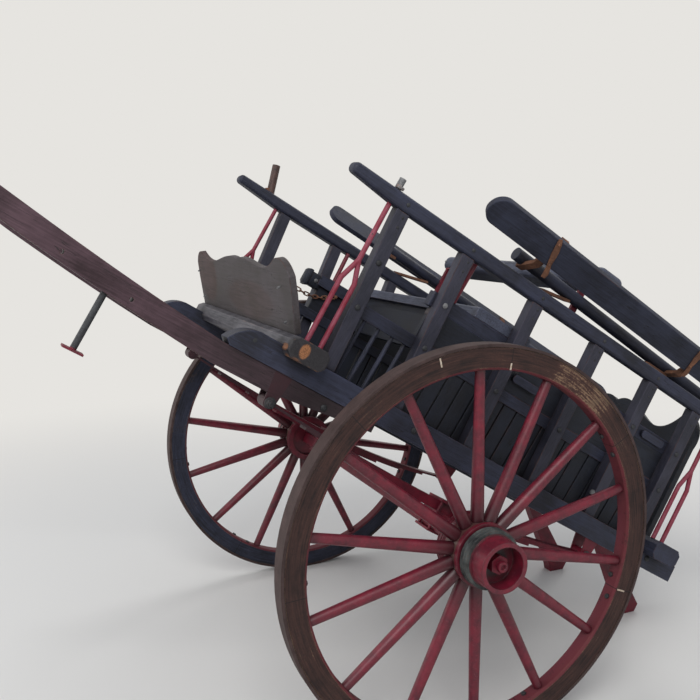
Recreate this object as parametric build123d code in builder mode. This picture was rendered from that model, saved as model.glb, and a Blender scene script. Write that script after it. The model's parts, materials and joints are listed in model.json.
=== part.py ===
import os
from math import asin, cos, radians, sin, tan

from build123d import *

os.makedirs("parts", exist_ok=True)

# Two wheeled horse cart, modelled level with the axle's centre at the origin:
# +X runs forward along the shafts, +Y is the cart's left side, +Z is up.
# Every piece is written out in the parked pose, tipped back onto the tail feet.

# Parked pose
rest_tilt = 31.0
parked_shift = -111.0

# Wheels
wheel_radius = 625.0
track = 1502.0
tyre_thickness = 9.0
tyre_width = 58.0
rim_depth = 67.0
rim_width = 54.0
rim_chamfer = 6.0
spoke_count = 14
spoke_root_radius = 21.0
spoke_tip_radius = 14.5
spoke_overrun = 12.0

# Hub, along the axle from the wheel's centre plane, outboard positive
hub_inner_end = -71.0
hub_outer_end = 152.0
hub_barrel_radius = 92.0
hub_collar_radius = 98.0
hub_collar_width = 26.0
hub_collar_slope = 8.0
hub_shoulder_place = 36.0
hub_shoulder_width = 14.0
hub_neck_radius = 80.0
hub_neck_end = 92.0
hub_nose_radius = 76.0
hub_band_radius = 88.0
hub_band_place = 52.0
hub_band_width = 38.0
hub_cup_radius = 62.0
hub_cup_depth = 52.0
hub_mouth_radius = 74.0
hub_mouth_depth = 14.0

# Axle
axle_square = 46.0
axle_chamfer = 4.0
axle_play = 3.0
journal_radius = 21.0
running_clearance = 0.05
nut_across = 52.0
nut_height = 22.0
stub_radius = 13.0
stub_length = 12.0

# Main beams and shafts
beam_spread = 495.0
beam_width = 70.0
beam_bottom = 190.0
beam_top = 265.0
beam_front = 925.0
beam_tail = -1030.0
beam_nose = 80.0
beam_nose_radius = 110.0
beam_cut = 15.0
shaft_width = 60.0
shaft_root_depth = 68.0
shaft_depth = 70.0
shaft_tip_depth = 52.0
shaft_heel = 380.0
shaft_heel_depth = 30.0
shaft_bend_end = 1520.0
shaft_bend_radius = 10500.0
shaft_lift = 4.57
shaft_tip = 2350.0
harness_hole_radius = 6.0
harness_hole_places = (1205.0, 1417.0, 2290.0)
harness_hole_drop = 9.0

# Cross beams over the main beams
cross_half_length = 585.0
cross_bottom = 240.0
cross_top = 305.0
cross_width = 128.0
cross_chamfer = 16.0
front_cross_place = 705.0
rear_cross_place = -900.0

# Floor
bearer_width = 60.0
bearer_height = 38.0
bearer_places = (470.0, 100.0, -300.0, -700.0)
floor_thickness = 22.0
floor_front = 635.0
floor_back = -830.0
floor_board_count = 6
floor_board_gap = 4.0

# Sides, which lean outward from the top of the main beams
side_lean = 4.5
stake_width = 46.0
stake_thickness = 38.0
stake_places = (603.0, 338.0, 30.0, -270.0, -555.0, -800.0)
stake_rake = 42.0
rail_height = 48.0
rail_thickness = 50.0
rail_bottom = 517.0
left_rail_front = 850.0
right_rail_front = 888.0
rail_tail = -1350.0
rail_end_round = 22.0
rail_nose_round = 16.0
rail_edge_round = 12.0
rail_taper = 14.0
rail_taper_start = 670.0
mid_rail_bottom = 185.0
mid_rail_height = 40.0
mid_rail_thickness = 30.0
side_board_thickness = 20.0
upper_board_height = 104.0
upper_board_front = 385.0
upper_rail_height = 48.0
upper_rail_thickness = 36.0
upper_rail_front = 400.0
cleat_length = 118.0
cleat_height = 28.0
cleat_depth = 14.0
board_cleat_place = -62.0
rail_cleat_place = -662.0
spindle_radius = 7.0
spindle_places = (555.0, 500.0, 445.0, 395.0)
slat_width = 54.0
slat_gap = 6.0
slat_inset = 4.0
inner_rail_radius = 22.0
inner_rail_lift = 42.0
inner_rail_front = 200.0
tail_drop = 2.0

# Flared boards above the sides
flare_angle = 45.0
flare_width = 95.0
flare_thickness = 22.0
flare_out = 79.0
flare_rise = 24.0
flare_front = 445.0
flare_end_share = 0.48
strap_width = 30.0
strap_thickness = 6.0
strap_reach = 30.0
strap_inset = 4.0
strap_places = (152.0, -590.0, -1230.0)
tie_strap_places = (10.0, -520.0, -1150.0)
tie_strap_length = 150.0
tie_strap_width = 26.0
tie_strap_thickness = 5.0

# Cross plank on irons above the top rails
spreader_place = -165.0
spreader_depth = 120.0
spreader_height = 64.0
spreader_half_length = 530.0
spreader_rise = 60.0
spreader_end_round = 26.0
spreader_iron_place = -118.0
spreader_iron_width = 26.0
spreader_iron_thickness = 12.0
spreader_iron_foot = 60.0
spreader_iron_bed = 5.0
spreader_iron_head = 100.0
spreader_iron_head_thickness = 6.0

# Seat and boards across
seat_front = 232.0
seat_depth = 235.0
seat_thickness = 36.0
seat_play = 3.0
seat_round = 8.0
seat_panel_thickness = 18.0
seat_panel_inset = 20.0
seat_rod_place = 325.0
seat_rod_inward = 24.0
seat_rod_radius = 9.0
footboard_height = 213.0
footboard_wave = 22.0
footboard_left_cut = 40.0
footboard_left_hump_share = 0.75
footboard_right_hump_share = 0.86
footboard_inset = 15.0
footboard_thickness = 20.0
footboard_lean = 38.0
footboard_place = 752.0
tailboard_half_length = 470.0
tailboard_height = 505.0
tailboard_wave = 66.0
tailboard_hump_share = 0.81
tailboard_inset = 0.0
tailboard_thickness = 24.0

# Wavy crest of the boards across: shares of the half length, and of the wave taken off the height
crest_end = 0.94
crest_end_drop = 0.45
crest_wave = ((0.41, 1.0), (0.085, 0.18), (0.0, 0.45))
crest_shoulder = 2.0
crest_foot = 0.54

# Springs
spring_width = 50.0
spring_leaf = 8.0
spring_leaf_count = 4
spring_front = 720.0
spring_rear = -610.0
spring_front_drop = 92.0
spring_rear_drop = 58.0
spring_eye_radius = 19.0
spring_eye_bore = 9.0
spring_pad = 16.0
spring_step = 0.2

# Stays, step and tail feet
stay_radius = 8.0
front_stay_place = 690.0
rear_stay_place = -880.0
stay_fork_height = 590.0
stay_shoulder_height = 520.0
stay_fork_spread = 24.0
bracket_width = 30.0
bracket_thickness = 6.0
bracket_reach = 110.0
bracket_foot = 60.0
bracket_spread = 430.0
tail_bracket_spread = 300.0
tail_bracket_foot = 24.0
hanger_cheek = 5.0
hanger_play = 0.2
hanger_foot = 60.0
hanger_pin_radius = 8.95
clamp_half = 42.0
clamp_rod_inset = 9.0
clamp_plate = 8.0
clamp_rod_radius = 5.5
left_pin_radius = 11.0
left_pin_place = 690.0
left_pin_height = 36.0
left_pin_slant = 0.0
right_pin_radius = 16.0
right_pin_place = 742.0
right_pin_height = 112.0
right_pin_slant = 31.0
pin_bed = 10.0
step_place = 1271.0
step_length = 204.0
step_rod_radius = 9.5
step_plate = 6.0
step_plate_length = 60.0
step_plate_width = 42.0
foot_spread = 235.0
foot_back = -1245.0
foot_width = 46.0
foot_depth = 34.0
foot_toe = 60.0
foot_root = 60.0
foot_heel = 30.0

# Worked out
half_track = track / 2
rim_outer = wheel_radius - tyre_thickness
rim_inner = rim_outer - rim_depth
beam_inner = beam_spread - beam_width / 2
beam_outer = beam_spread + beam_width / 2
lean_up = (sin(radians(side_lean)), cos(radians(side_lean)))
axle_top = axle_square / 2
parked = Location((parked_shift, 0, wheel_radius), (0, -rest_tilt, 0))
wheel_places = {
    "left": Location((parked_shift, half_track, wheel_radius)),
    "right": Location((parked_shift, -half_track, wheel_radius), (0, 0, 180)),
}


def write_out(part, name, place=parked):
    """Moves a finished piece to its parked place, labels it and writes it out."""
    moved = part.moved(place)
    moved.label = name
    export_step(moved, f"parts/{name}.step")


def lengthwise(spread):
    """Upright plane along the cart at a distance from its middle: x forward, y up."""
    return Plane(origin=(0, spread, 0), x_dir=(1, 0, 0), z_dir=(0, -1, 0))


def crosswise(place):
    """Upright plane across the cart at a place along it: x to the left, y up."""
    return Plane(origin=(place, 0, 0), x_dir=(0, 1, 0), z_dir=(1, 0, 0))


def side_point(up, inward):
    """Spread and height of a point given along the left side's lean."""
    spread = beam_spread + up * lean_up[0] - inward * lean_up[1]
    height = beam_top + up * lean_up[1] + inward * lean_up[0]
    return spread, height


def rod(start, end, radius):
    """Round rod between two points, added to the part being built."""
    along = Vector(*end) - Vector(*start)
    with Locations(Plane(origin=start, z_dir=along).location):
        Cylinder(radius, along.length, align=(Align.CENTER, Align.CENTER, Align.MIN))


# Each side's own plane: x forward, y up along the lean
left_side = Plane(
    origin=(0, beam_spread, beam_top),
    x_dir=(1, 0, 0),
    z_dir=(0, -lean_up[1], lean_up[0]),
)
right_side = Plane(
    origin=(0, -beam_spread, beam_top),
    x_dir=(1, 0, 0),
    z_dir=(0, -lean_up[1], -lean_up[0]),
)

# Wheel pieces, about the wheel's centre with the axle along Y and outboard at +Y
with BuildPart() as tyre:
    with BuildSketch(Plane.XY):
        with Locations((rim_outer + tyre_thickness / 2, 0)):
            Rectangle(tyre_thickness, tyre_width)
    revolve(axis=Axis.Y)

with BuildPart() as rim:
    with BuildSketch(Plane.XY):
        with Locations((rim_inner + rim_depth / 2, 0)):
            Rectangle(rim_depth, rim_width)
        chamfer(vertices().group_by(Axis.X)[0], rim_chamfer)
    revolve(axis=Axis.Y)

with BuildPart() as spokes:
    for number in range(spoke_count):
        turn = Location((0, 0, 0), (0, number * 360 / spoke_count, 0))
        start = Location((0, 0, hub_barrel_radius - spoke_overrun))
        with Locations(turn * start):
            Cone(
                spoke_root_radius,
                spoke_tip_radius,
                rim_inner - hub_barrel_radius + 2 * spoke_overrun,
                align=(Align.CENTER, Align.CENTER, Align.MIN),
            )
    Cylinder(hub_barrel_radius, 2 * wheel_radius, rotation=(90, 0, 0), mode=Mode.SUBTRACT)
    Cylinder(rim_inner, 2 * wheel_radius, rotation=(90, 0, 0), mode=Mode.INTERSECT)

collar_end = hub_inner_end + hub_collar_width
with BuildPart() as hub:
    with BuildSketch(Plane.XY):
        with BuildLine():
            Polyline(
                (journal_radius, hub_inner_end + hub_mouth_depth),
                (hub_mouth_radius, hub_inner_end + hub_mouth_depth),
                (hub_mouth_radius, hub_inner_end),
                (hub_collar_radius, hub_inner_end),
                (hub_collar_radius, collar_end),
                (hub_barrel_radius, collar_end + hub_collar_slope),
                (hub_barrel_radius, hub_shoulder_place),
                (hub_collar_radius, hub_shoulder_place),
                (hub_collar_radius, hub_shoulder_place + hub_shoulder_width),
                (hub_neck_radius, hub_shoulder_place + hub_shoulder_width),
                (hub_neck_radius, hub_neck_end),
                (hub_nose_radius, hub_neck_end),
                (hub_nose_radius, hub_outer_end),
                (hub_cup_radius, hub_outer_end),
                (hub_cup_radius, hub_outer_end - hub_cup_depth),
                (journal_radius, hub_outer_end - hub_cup_depth),
                close=True,
            )
        make_face()
    revolve(axis=Axis.Y)
    Cylinder(
        journal_radius + running_clearance,
        2 * wheel_radius,
        rotation=(90, 0, 0),
        mode=Mode.SUBTRACT,
    )

with BuildPart() as hub_band:
    with BuildSketch(Plane.XY):
        with Locations((hub_neck_radius, hub_band_place)):
            Rectangle(hub_band_radius - hub_neck_radius, hub_band_width, align=(Align.MIN, Align.MIN))
    revolve(axis=Axis.Y)

for side, place in wheel_places.items():
    write_out(tyre.part, f"{side}_wheel_tyre", place)
    write_out(rim.part, f"{side}_wheel_rim", place)
    write_out(spokes.part, f"{side}_wheel_spokes", place)
    write_out(hub.part, f"{side}_wheel_hub", place)
    write_out(hub_band.part, f"{side}_wheel_hub_band", place)

# Square axle with round journals
square_half = half_track + hub_inner_end + hub_mouth_depth - axle_play
journal_end = half_track + hub_outer_end - hub_cup_depth + axle_play
with BuildPart() as axle:
    Box(axle_square, 2 * square_half, axle_square)
    chamfer(edges().filter_by(Axis.Y), axle_chamfer)
    Cylinder(journal_radius, 2 * journal_end, rotation=(90, 0, 0))
write_out(axle.part, "axle")

with BuildPart() as axle_nuts:
    with BuildSketch(lengthwise(journal_end)):
        RegularPolygon(nut_across / 2, 6, major_radius=False)
    extrude(amount=-nut_height)
    with BuildSketch(lengthwise(journal_end + nut_height)):
        Circle(stub_radius)
    extrude(amount=-stub_length)
    mirror(about=Plane.XZ)
write_out(axle_nuts.part, "axle_nuts")

# Main beams with rounded noses
with BuildPart() as main_beams:
    with BuildSketch(lengthwise(beam_spread)):
        with BuildLine():
            Polyline(
                (beam_front - beam_nose, beam_top),
                (beam_tail + beam_cut, beam_top),
                (beam_tail, beam_top - beam_cut),
                (beam_tail, beam_bottom),
                (beam_front - beam_cut, beam_bottom),
                (beam_front, beam_bottom + beam_cut),
            )
            RadiusArc(
                (beam_front, beam_bottom + beam_cut), (beam_front - beam_nose, beam_top), -beam_nose_radius
            )
        make_face()
    extrude(amount=beam_width / 2, both=True)
    mirror(about=Plane.XZ)
write_out(main_beams.part, "main_beams")

# Shafts bolted below the beams, sweeping up to their tips
lift = radians(shaft_lift)
bend_low = beam_front - shaft_bend_radius * sin(lift)
bend_floor = beam_bottom - shaft_bend_radius * (1 - cos(lift))
bend_angle = asin((shaft_bend_end - bend_low) / shaft_bend_radius)
bend_top = bend_floor + shaft_bend_radius * (1 - cos(bend_angle))
tip_top = bend_top + (shaft_tip - shaft_bend_end) * tan(bend_angle)


def shaft_middle(place):
    """Height of the shaft's middle at a place along it, forward of the beams."""
    if place < shaft_bend_end:
        angle = asin((place - bend_low) / shaft_bend_radius)
        return bend_floor + shaft_bend_radius * (1 - cos(angle)) - shaft_depth / 2
    share = (place - shaft_bend_end) / (shaft_tip - shaft_bend_end)
    depth = shaft_depth * (1 - share) + shaft_tip_depth * share
    return bend_top * (1 - share) + tip_top * share - depth / 2


with BuildPart() as shafts:
    with BuildSketch(lengthwise(beam_spread)):
        with BuildLine():
            Line((shaft_heel, beam_bottom), (beam_front, beam_bottom))
            RadiusArc(
                (beam_front, beam_bottom), (shaft_bend_end, bend_top), -shaft_bend_radius
            )
            Polyline(
                (shaft_bend_end, bend_top),
                (shaft_tip, tip_top),
                (shaft_tip, tip_top - shaft_tip_depth),
                (shaft_bend_end, bend_top - shaft_depth),
            )
            RadiusArc(
                (shaft_bend_end, bend_top - shaft_depth),
                (beam_front, beam_bottom - shaft_root_depth),
                shaft_bend_radius,
            )
            Polyline(
                (beam_front, beam_bottom - shaft_root_depth),
                (spring_front + hanger_foot / 2, beam_bottom - shaft_root_depth),
                (shaft_heel, beam_bottom - shaft_heel_depth),
                (shaft_heel, beam_bottom),
            )
        make_face()
    extrude(amount=shaft_width / 2, both=True)
    with BuildSketch(lengthwise(beam_spread)):
        with Locations(
            *[(place, shaft_middle(place) - harness_hole_drop) for place in harness_hole_places]
        ):
            Circle(harness_hole_radius)
    extrude(amount=shaft_width, both=True, mode=Mode.SUBTRACT)
    mirror(about=Plane.XZ)
write_out(shafts.part, "shafts")

# Cross beams, notched over the main beams
for name, place in (("front_cross_beam", front_cross_place), ("rear_cross_beam", rear_cross_place)):
    with BuildPart() as cross_beam:
        with Locations((place, 0, (cross_bottom + cross_top) / 2)):
            Box(cross_width, 2 * cross_half_length, cross_top - cross_bottom)
        chamfer(edges().filter_by(Axis.Y), cross_chamfer)
        with Locations((place, beam_spread, 0), (place, -beam_spread, 0)):
            Box(2 * cross_width, beam_width, 2 * beam_top, mode=Mode.SUBTRACT)
    write_out(cross_beam.part, name)

# Floor bearers between the main beams, and floor boards on them
floor_top = cross_bottom + floor_thickness
with BuildPart() as floor_bearers:
    for place in bearer_places:
        with Locations((place, 0, cross_bottom - bearer_height / 2)):
            Box(bearer_width, 2 * beam_inner, bearer_height)
write_out(floor_bearers.part, "floor_bearers")

board_pitch = 2 * beam_inner / floor_board_count
with BuildPart() as floor_boards:
    with Locations(((floor_front + floor_back) / 2, 0, cross_bottom + floor_thickness / 2)):
        with GridLocations(1, board_pitch, 1, floor_board_count):
            Box(floor_front - floor_back, board_pitch - floor_board_gap, floor_thickness)
write_out(floor_boards.part, "floor_boards")

# Leaning side frames
spindle_inward = (stake_thickness + mid_rail_thickness) / 2
with BuildPart() as stakes:
    with BuildSketch(left_side.offset(-stake_thickness / 2)):
        with Locations(*[(place, 0) for place in stake_places]):
            Polygon(
                (-stake_width / 2, 0),
                (stake_width / 2, 0),
                (stake_width / 2 + stake_rake, rail_bottom),
                (-stake_width / 2 + stake_rake, rail_bottom),
                align=None,
            )
    extrude(amount=stake_thickness)
    Box(4 * wheel_radius, 4 * wheel_radius, 2 * beam_top, mode=Mode.SUBTRACT)
    mirror(about=Plane.XZ)
write_out(stakes.part, "stakes")

# Top rails, whose undersides rise a little towards their rounded noses
rail_top = rail_bottom + rail_height
with BuildPart() as top_rails:
    for side_plane, nose in ((left_side, left_rail_front), (right_side, right_rail_front)):
        with BuildSketch(side_plane):
            with BuildLine():
                Polyline(
                    (rail_tail, rail_bottom),
                    (rail_taper_start, rail_bottom),
                    (nose, rail_bottom + rail_taper),
                    (nose, rail_top),
                    (rail_tail, rail_top),
                    close=True,
                )
            make_face()
            fillet(vertices().group_by(Axis.X)[0], rail_end_round)
            fillet(vertices().group_by(Axis.X)[-1], rail_nose_round)
        extrude(amount=rail_thickness / 2, both=True)
    long_edges = edges().filter_by(Axis.X).filter_by(lambda edge: edge.length > rail_taper_start)
    fillet(long_edges, rail_edge_round)
write_out(top_rails.part, "top_rails")

# Round inner rails above the top rails, dropping a little towards the tail
rail_inner_edge, rail_top_height = side_point(rail_top, rail_thickness / 2)
inner_rail_spread = rail_inner_edge - inner_rail_radius


def inner_rail_height(place):
    """Height of the inner rail's middle at a place along it."""
    drop = (inner_rail_front - place) * tan(radians(tail_drop))
    return rail_top_height + inner_rail_lift + inner_rail_radius - drop


with BuildPart() as inner_rails:
    rod(
        (rail_tail, inner_rail_spread, inner_rail_height(rail_tail)),
        (inner_rail_front, inner_rail_spread, inner_rail_height(inner_rail_front)),
        inner_rail_radius,
    )
    add(top_rails.part, mode=Mode.SUBTRACT)
    mirror(about=Plane.XZ)
write_out(inner_rails.part, "inner_rails")

rail_length_front = stake_places[0] + stake_width / 2
rail_length_back = stake_places[-1] - stake_width / 2
with BuildPart() as mid_rails:
    with BuildSketch(left_side.offset(stake_thickness / 2)):
        with Locations(
            ((rail_length_front + rail_length_back) / 2, mid_rail_bottom + mid_rail_height / 2)
        ):
            Rectangle(rail_length_front - rail_length_back, mid_rail_height)
    extrude(amount=mid_rail_thickness)
    mirror(about=Plane.XZ)
write_out(mid_rails.part, "mid_rails")

board_bottom = mid_rail_bottom + mid_rail_height
upper_board_top = board_bottom + upper_board_height
with BuildPart() as upper_boards:
    with BuildSketch(left_side.offset(stake_thickness / 2)):
        with Locations(
            ((upper_board_front + rail_length_back) / 2, (board_bottom + upper_board_top) / 2)
        ):
            Rectangle(upper_board_front - rail_length_back, upper_board_height)
    extrude(amount=side_board_thickness)
    mirror(about=Plane.XZ)
write_out(upper_boards.part, "upper_boards")

upper_rail_top = upper_board_top + upper_rail_height
with BuildPart() as upper_rails:
    with BuildSketch(left_side.offset(stake_thickness / 2)):
        with Locations(
            ((upper_rail_front + rail_length_back) / 2, (upper_board_top + upper_rail_top) / 2)
        ):
            Rectangle(upper_rail_front - rail_length_back, upper_rail_height)
    extrude(amount=upper_rail_thickness)
    mirror(about=Plane.XZ)
write_out(upper_rails.part, "upper_rails")

# Round ended cleats on the outer faces of the upper boards and the upper rails
cleat_spots = (
    (board_cleat_place, board_bottom + upper_board_height / 2),
    (rail_cleat_place, upper_board_top + upper_rail_height / 2),
)
with BuildPart() as side_cleats:
    with BuildSketch(left_side.offset(stake_thickness / 2)):
        with Locations(*cleat_spots):
            SlotOverall(cleat_length, cleat_height)
    extrude(amount=-cleat_depth)
    mirror(about=Plane.XZ)
write_out(side_cleats.part, "side_cleats")

# Upright slats from the floor to the mid rail behind the open front bay
slat_pitch = slat_width + slat_gap
slat_count = int((stake_places[1] - floor_back) / slat_pitch)
slat_mid = (stake_places[1] + floor_back) / 2
with BuildPart() as side_slats:
    with BuildSketch(left_side.offset(stake_thickness / 2 + slat_inset)):
        with Locations((slat_mid, mid_rail_bottom / 2)):
            with GridLocations(slat_pitch, 1, slat_count, 1):
                Rectangle(slat_width, mid_rail_bottom)
    extrude(amount=side_board_thickness)
    Box(4 * wheel_radius, 4 * wheel_radius, 2 * beam_top, mode=Mode.SUBTRACT)
    mirror(about=Plane.XZ)
write_out(side_slats.part, "side_slats")

with BuildPart() as spindles:
    for place in spindle_places:
        with BuildSketch(Plane(origin=(place, *side_point(0, spindle_inward)), z_dir=(0, *lean_up))):
            Circle(spindle_radius)
        extrude(amount=mid_rail_bottom)
    Box(4 * wheel_radius, 4 * wheel_radius, 2 * beam_top, mode=Mode.SUBTRACT)
    mirror(about=Plane.XZ)
write_out(spindles.part, "side_spindles")

# Flared boards with the iron straps that carry them, following the inner rails down to the tail
flare_way = (sin(radians(flare_angle)), cos(radians(flare_angle)))
flare_face = flare_thickness / 2
slope = radians(tail_drop)


def flare_point(place, up, outward):
    """Spread and height of a point given along the flared board's own slope at a place."""
    spread = inner_rail_spread + flare_out + up * flare_way[0] + outward * flare_way[1]
    height = inner_rail_height(place) + flare_rise + up * flare_way[1] - outward * flare_way[0]
    return spread, height


left_flare = Plane(
    origin=(rail_tail, *flare_point(rail_tail, 0, 0)),
    x_dir=(cos(slope), 0, sin(slope)),
    z_dir=(0, -flare_way[1], flare_way[0]),
)
flare_length = (flare_front - rail_tail) / cos(slope)
with BuildPart() as flare_boards:
    with BuildSketch(left_flare.offset(-flare_face)):
        with Locations((flare_length / 2, flare_width / 2)):
            RectangleRounded(flare_length, flare_width, flare_end_share * flare_width)
    extrude(amount=flare_thickness)
    mirror(about=Plane.XZ)
write_out(flare_boards.part, "flare_boards")

with BuildPart() as flare_straps:
    for place in strap_places:
        under_rail = inner_rail_height(place) - inner_rail_radius
        with BuildSketch(crosswise(place)):
            Polygon(
                flare_point(place, flare_width - strap_inset, flare_face - strap_thickness),
                flare_point(place, flare_width - strap_inset, flare_face + strap_thickness),
                flare_point(place, -strap_reach - strap_thickness, flare_face + strap_thickness),
                (inner_rail_spread - inner_rail_radius, under_rail - strap_thickness),
                (inner_rail_spread - inner_rail_radius, under_rail + strap_thickness),
                flare_point(place, -strap_reach, flare_face - strap_thickness),
                align=None,
            )
        extrude(amount=strap_width / 2, both=True)
    add(inner_rails.part, mode=Mode.SUBTRACT)
    add(top_rails.part, mode=Mode.SUBTRACT)
    add(flare_boards.part, mode=Mode.SUBTRACT)
    mirror(about=Plane.XZ)
write_out(flare_straps.part, "flare_straps")

# Cross plank with rounded ends, on cranked irons beside the inner rails
spreader_bottom = inner_rail_height(spreader_place) + inner_rail_radius + spreader_rise
with BuildPart() as spreader:
    with Locations((spreader_place, 0, spreader_bottom + spreader_height / 2)):
        Box(spreader_depth, 2 * spreader_half_length, spreader_height)
    fillet(edges().filter_by(Axis.X), spreader_end_round)
    fillet(edges().filter_by(Axis.Y).group_by(Axis.Z)[-1], spreader_end_round)
write_out(spreader.part, "spreader")

with BuildPart() as spreader_irons:
    inner_face = inner_rail_spread - inner_rail_radius + spreader_iron_bed
    iron_bottom = inner_rail_height(spreader_iron_place) - spreader_iron_foot
    with Locations((spreader_iron_place, inner_face, iron_bottom)):
        Box(
            spreader_iron_width,
            spreader_iron_thickness,
            spreader_bottom - iron_bottom,
            align=(Align.CENTER, Align.MAX, Align.MIN),
        )
    with Locations((spreader_iron_place, inner_face, spreader_bottom)):
        Box(
            spreader_iron_width,
            spreader_iron_head,
            spreader_iron_head_thickness,
            align=(Align.CENTER, Align.MAX, Align.MAX),
        )
    add(inner_rails.part, mode=Mode.SUBTRACT)
    mirror(about=Plane.XZ)
write_out(spreader_irons.part, "spreader_irons")

# Seat on the upper rails, with its front panel
seat_inward = stake_thickness / 2 + upper_rail_thickness / 2
seat_bottom = side_point(upper_rail_top, seat_inward)[1]
seat_spread = side_point(upper_rail_top, stake_thickness / 2)[0] - seat_play
with BuildPart() as seat:
    with Locations((seat_front - seat_depth / 2, 0, seat_bottom + seat_thickness / 2)):
        Box(seat_depth, 2 * seat_spread, seat_thickness)
    fillet(edges().filter_by(Axis.Y).group_by(Axis.Z)[-1], seat_round)
    add(upper_rails.part, mode=Mode.SUBTRACT)
write_out(seat.part, "seat")

panel_foot = side_point(board_bottom, stake_thickness / 2 + side_board_thickness)
panel_head = side_point(upper_rail_top, stake_thickness / 2 + side_board_thickness)
with BuildPart() as seat_panel:
    with BuildSketch(crosswise(seat_front - seat_panel_inset)):
        Polygon(
            (-panel_foot[0], panel_foot[1]),
            (panel_foot[0], panel_foot[1]),
            (panel_head[0], seat_bottom),
            (-panel_head[0], seat_bottom),
            align=None,
        )
    extrude(amount=-seat_panel_thickness)
    add(mid_rails.part, mode=Mode.SUBTRACT)
    add(upper_boards.part, mode=Mode.SUBTRACT)
    add(upper_rails.part, mode=Mode.SUBTRACT)
    add(seat.part, mode=Mode.SUBTRACT)
write_out(seat_panel.part, "seat_panel")

# Rods in front of the seat, from the upper rails to the top rails
with BuildPart() as seat_rods:
    rod(
        (seat_rod_place, *side_point(upper_rail_top, seat_rod_inward)),
        (seat_rod_place, *side_point(rail_bottom, seat_rod_inward)),
        seat_rod_radius,
    )
    mirror(about=Plane.XZ)
write_out(seat_rods.part, "seat_rods")


def scalloped(reach, height, wave, inset, hump):
    """Outline of a board from its middle to one end, where its wavy crest falls round to a shoulder."""
    crest = [(share * reach, height - drop * wave) for share, drop in ((hump, 0), *crest_wave)]
    shoulder = (reach, height - crest_shoulder * wave)
    foot_end = reach * (1 - inset / abs(reach))
    Polyline((0, 0), (foot_end, 0), (reach, crest_foot * height), shoulder)
    ThreePointArc(shoulder, (crest_end * reach, height - crest_end_drop * wave), crest[0])
    Spline(*crest)


# Scalloped footboard leaning forward on the front cross beam, shorter on the left
footboard_plane = Plane(
    origin=(footboard_place, 0, cross_top),
    x_dir=(0, 1, 0),
    z_dir=(cos(radians(footboard_lean)), 0, -sin(radians(footboard_lean))),
)
with BuildPart() as footboard:
    with BuildSketch(footboard_plane):
        with BuildLine():
            for reach, hump in (
                (cross_half_length - footboard_left_cut, footboard_left_hump_share),
                (-cross_half_length, footboard_right_hump_share),
            ):
                scalloped(reach, footboard_height, footboard_wave, footboard_inset, hump)
        make_face()
    extrude(amount=-footboard_thickness)
    Box(4 * wheel_radius, 4 * wheel_radius, 2 * cross_top, mode=Mode.SUBTRACT)
write_out(footboard.part, "footboard")

tailboard_plane = Plane(
    origin=(rear_cross_place, 0, cross_top), x_dir=(0, 1, 0), z_dir=(1, 0, 0)
)
with BuildPart() as tailboard:
    with BuildSketch(tailboard_plane):
        with BuildLine():
            for reach in (tailboard_half_length, -tailboard_half_length):
                scalloped(reach, tailboard_height, tailboard_wave, tailboard_inset, tailboard_hump_share)
        make_face()
    extrude(amount=tailboard_thickness / 2, both=True)
write_out(tailboard.part, "tailboard")

# Leaf springs under the shafts and beams: each leaf a step shorter than the one above
spring_seat = axle_top + spring_pad
spring_top = spring_seat + spring_leaf_count * spring_leaf
spring_ends = (
    (spring_front, beam_bottom - spring_front_drop),
    (spring_rear, beam_bottom - spring_rear_drop),
)


def leaf_point(end, leaf, share):
    """Point on the face below a number of leaves, a share of the way to one of the eyes."""
    reach, height = end
    rise = height + spring_leaf / 2 - spring_top
    radius = (reach**2 + rise**2) / (2 * rise)
    angle = asin(reach * share / radius)
    depth = radius + leaf * spring_leaf
    return depth * sin(angle), spring_top + radius - depth * cos(angle)


with BuildPart() as springs:
    for end in spring_ends:
        for leaf in range(spring_leaf_count):
            share = 1 - spring_step * leaf
            with BuildSketch(lengthwise(beam_spread)):
                with BuildLine():
                    for level in (leaf, leaf + 1):
                        ThreePointArc(
                            leaf_point(end, level, 0),
                            leaf_point(end, level, share / 2),
                            leaf_point(end, level, share),
                        )
                    Line(leaf_point(end, leaf, 0), leaf_point(end, leaf + 1, 0))
                    Line(leaf_point(end, leaf, share), leaf_point(end, leaf + 1, share))
                make_face()
            extrude(amount=spring_width / 2, both=True)
    with BuildSketch(lengthwise(beam_spread)):
        with Locations(*spring_ends):
            Circle(spring_eye_radius)
    extrude(amount=spring_width / 2, both=True)
    with BuildSketch(lengthwise(beam_spread)):
        with Locations(*spring_ends):
            Circle(spring_eye_bore)
    extrude(amount=spring_width, both=True, mode=Mode.SUBTRACT)
    mirror(about=Plane.XZ)
write_out(springs.part, "leaf_springs")

# Spring clamps round the axle
with BuildPart() as spring_clamps:
    for height in (axle_top + spring_pad / 2, -axle_top - clamp_plate / 2):
        thickness = spring_pad if height > 0 else clamp_plate
        with Locations((0, beam_spread, height)):
            Box(2 * clamp_half, 2 * clamp_half, thickness)
    with Locations((0, beam_spread, spring_top + clamp_plate / 2)):
        Box(2 * clamp_half, 2 * clamp_half, clamp_plate)
    rod_low = -axle_top - clamp_plate
    rod_reach = clamp_half - clamp_rod_inset
    with Locations((0, beam_spread, rod_low)):
        with GridLocations(2 * rod_reach, 2 * rod_reach, 2, 2):
            Cylinder(
                clamp_rod_radius,
                spring_top + clamp_plate - rod_low,
                align=(Align.CENTER, Align.CENTER, Align.MIN),
            )
    add(springs.part, mode=Mode.SUBTRACT)
    mirror(about=Plane.XZ)
write_out(spring_clamps.part, "spring_clamps")

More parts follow.
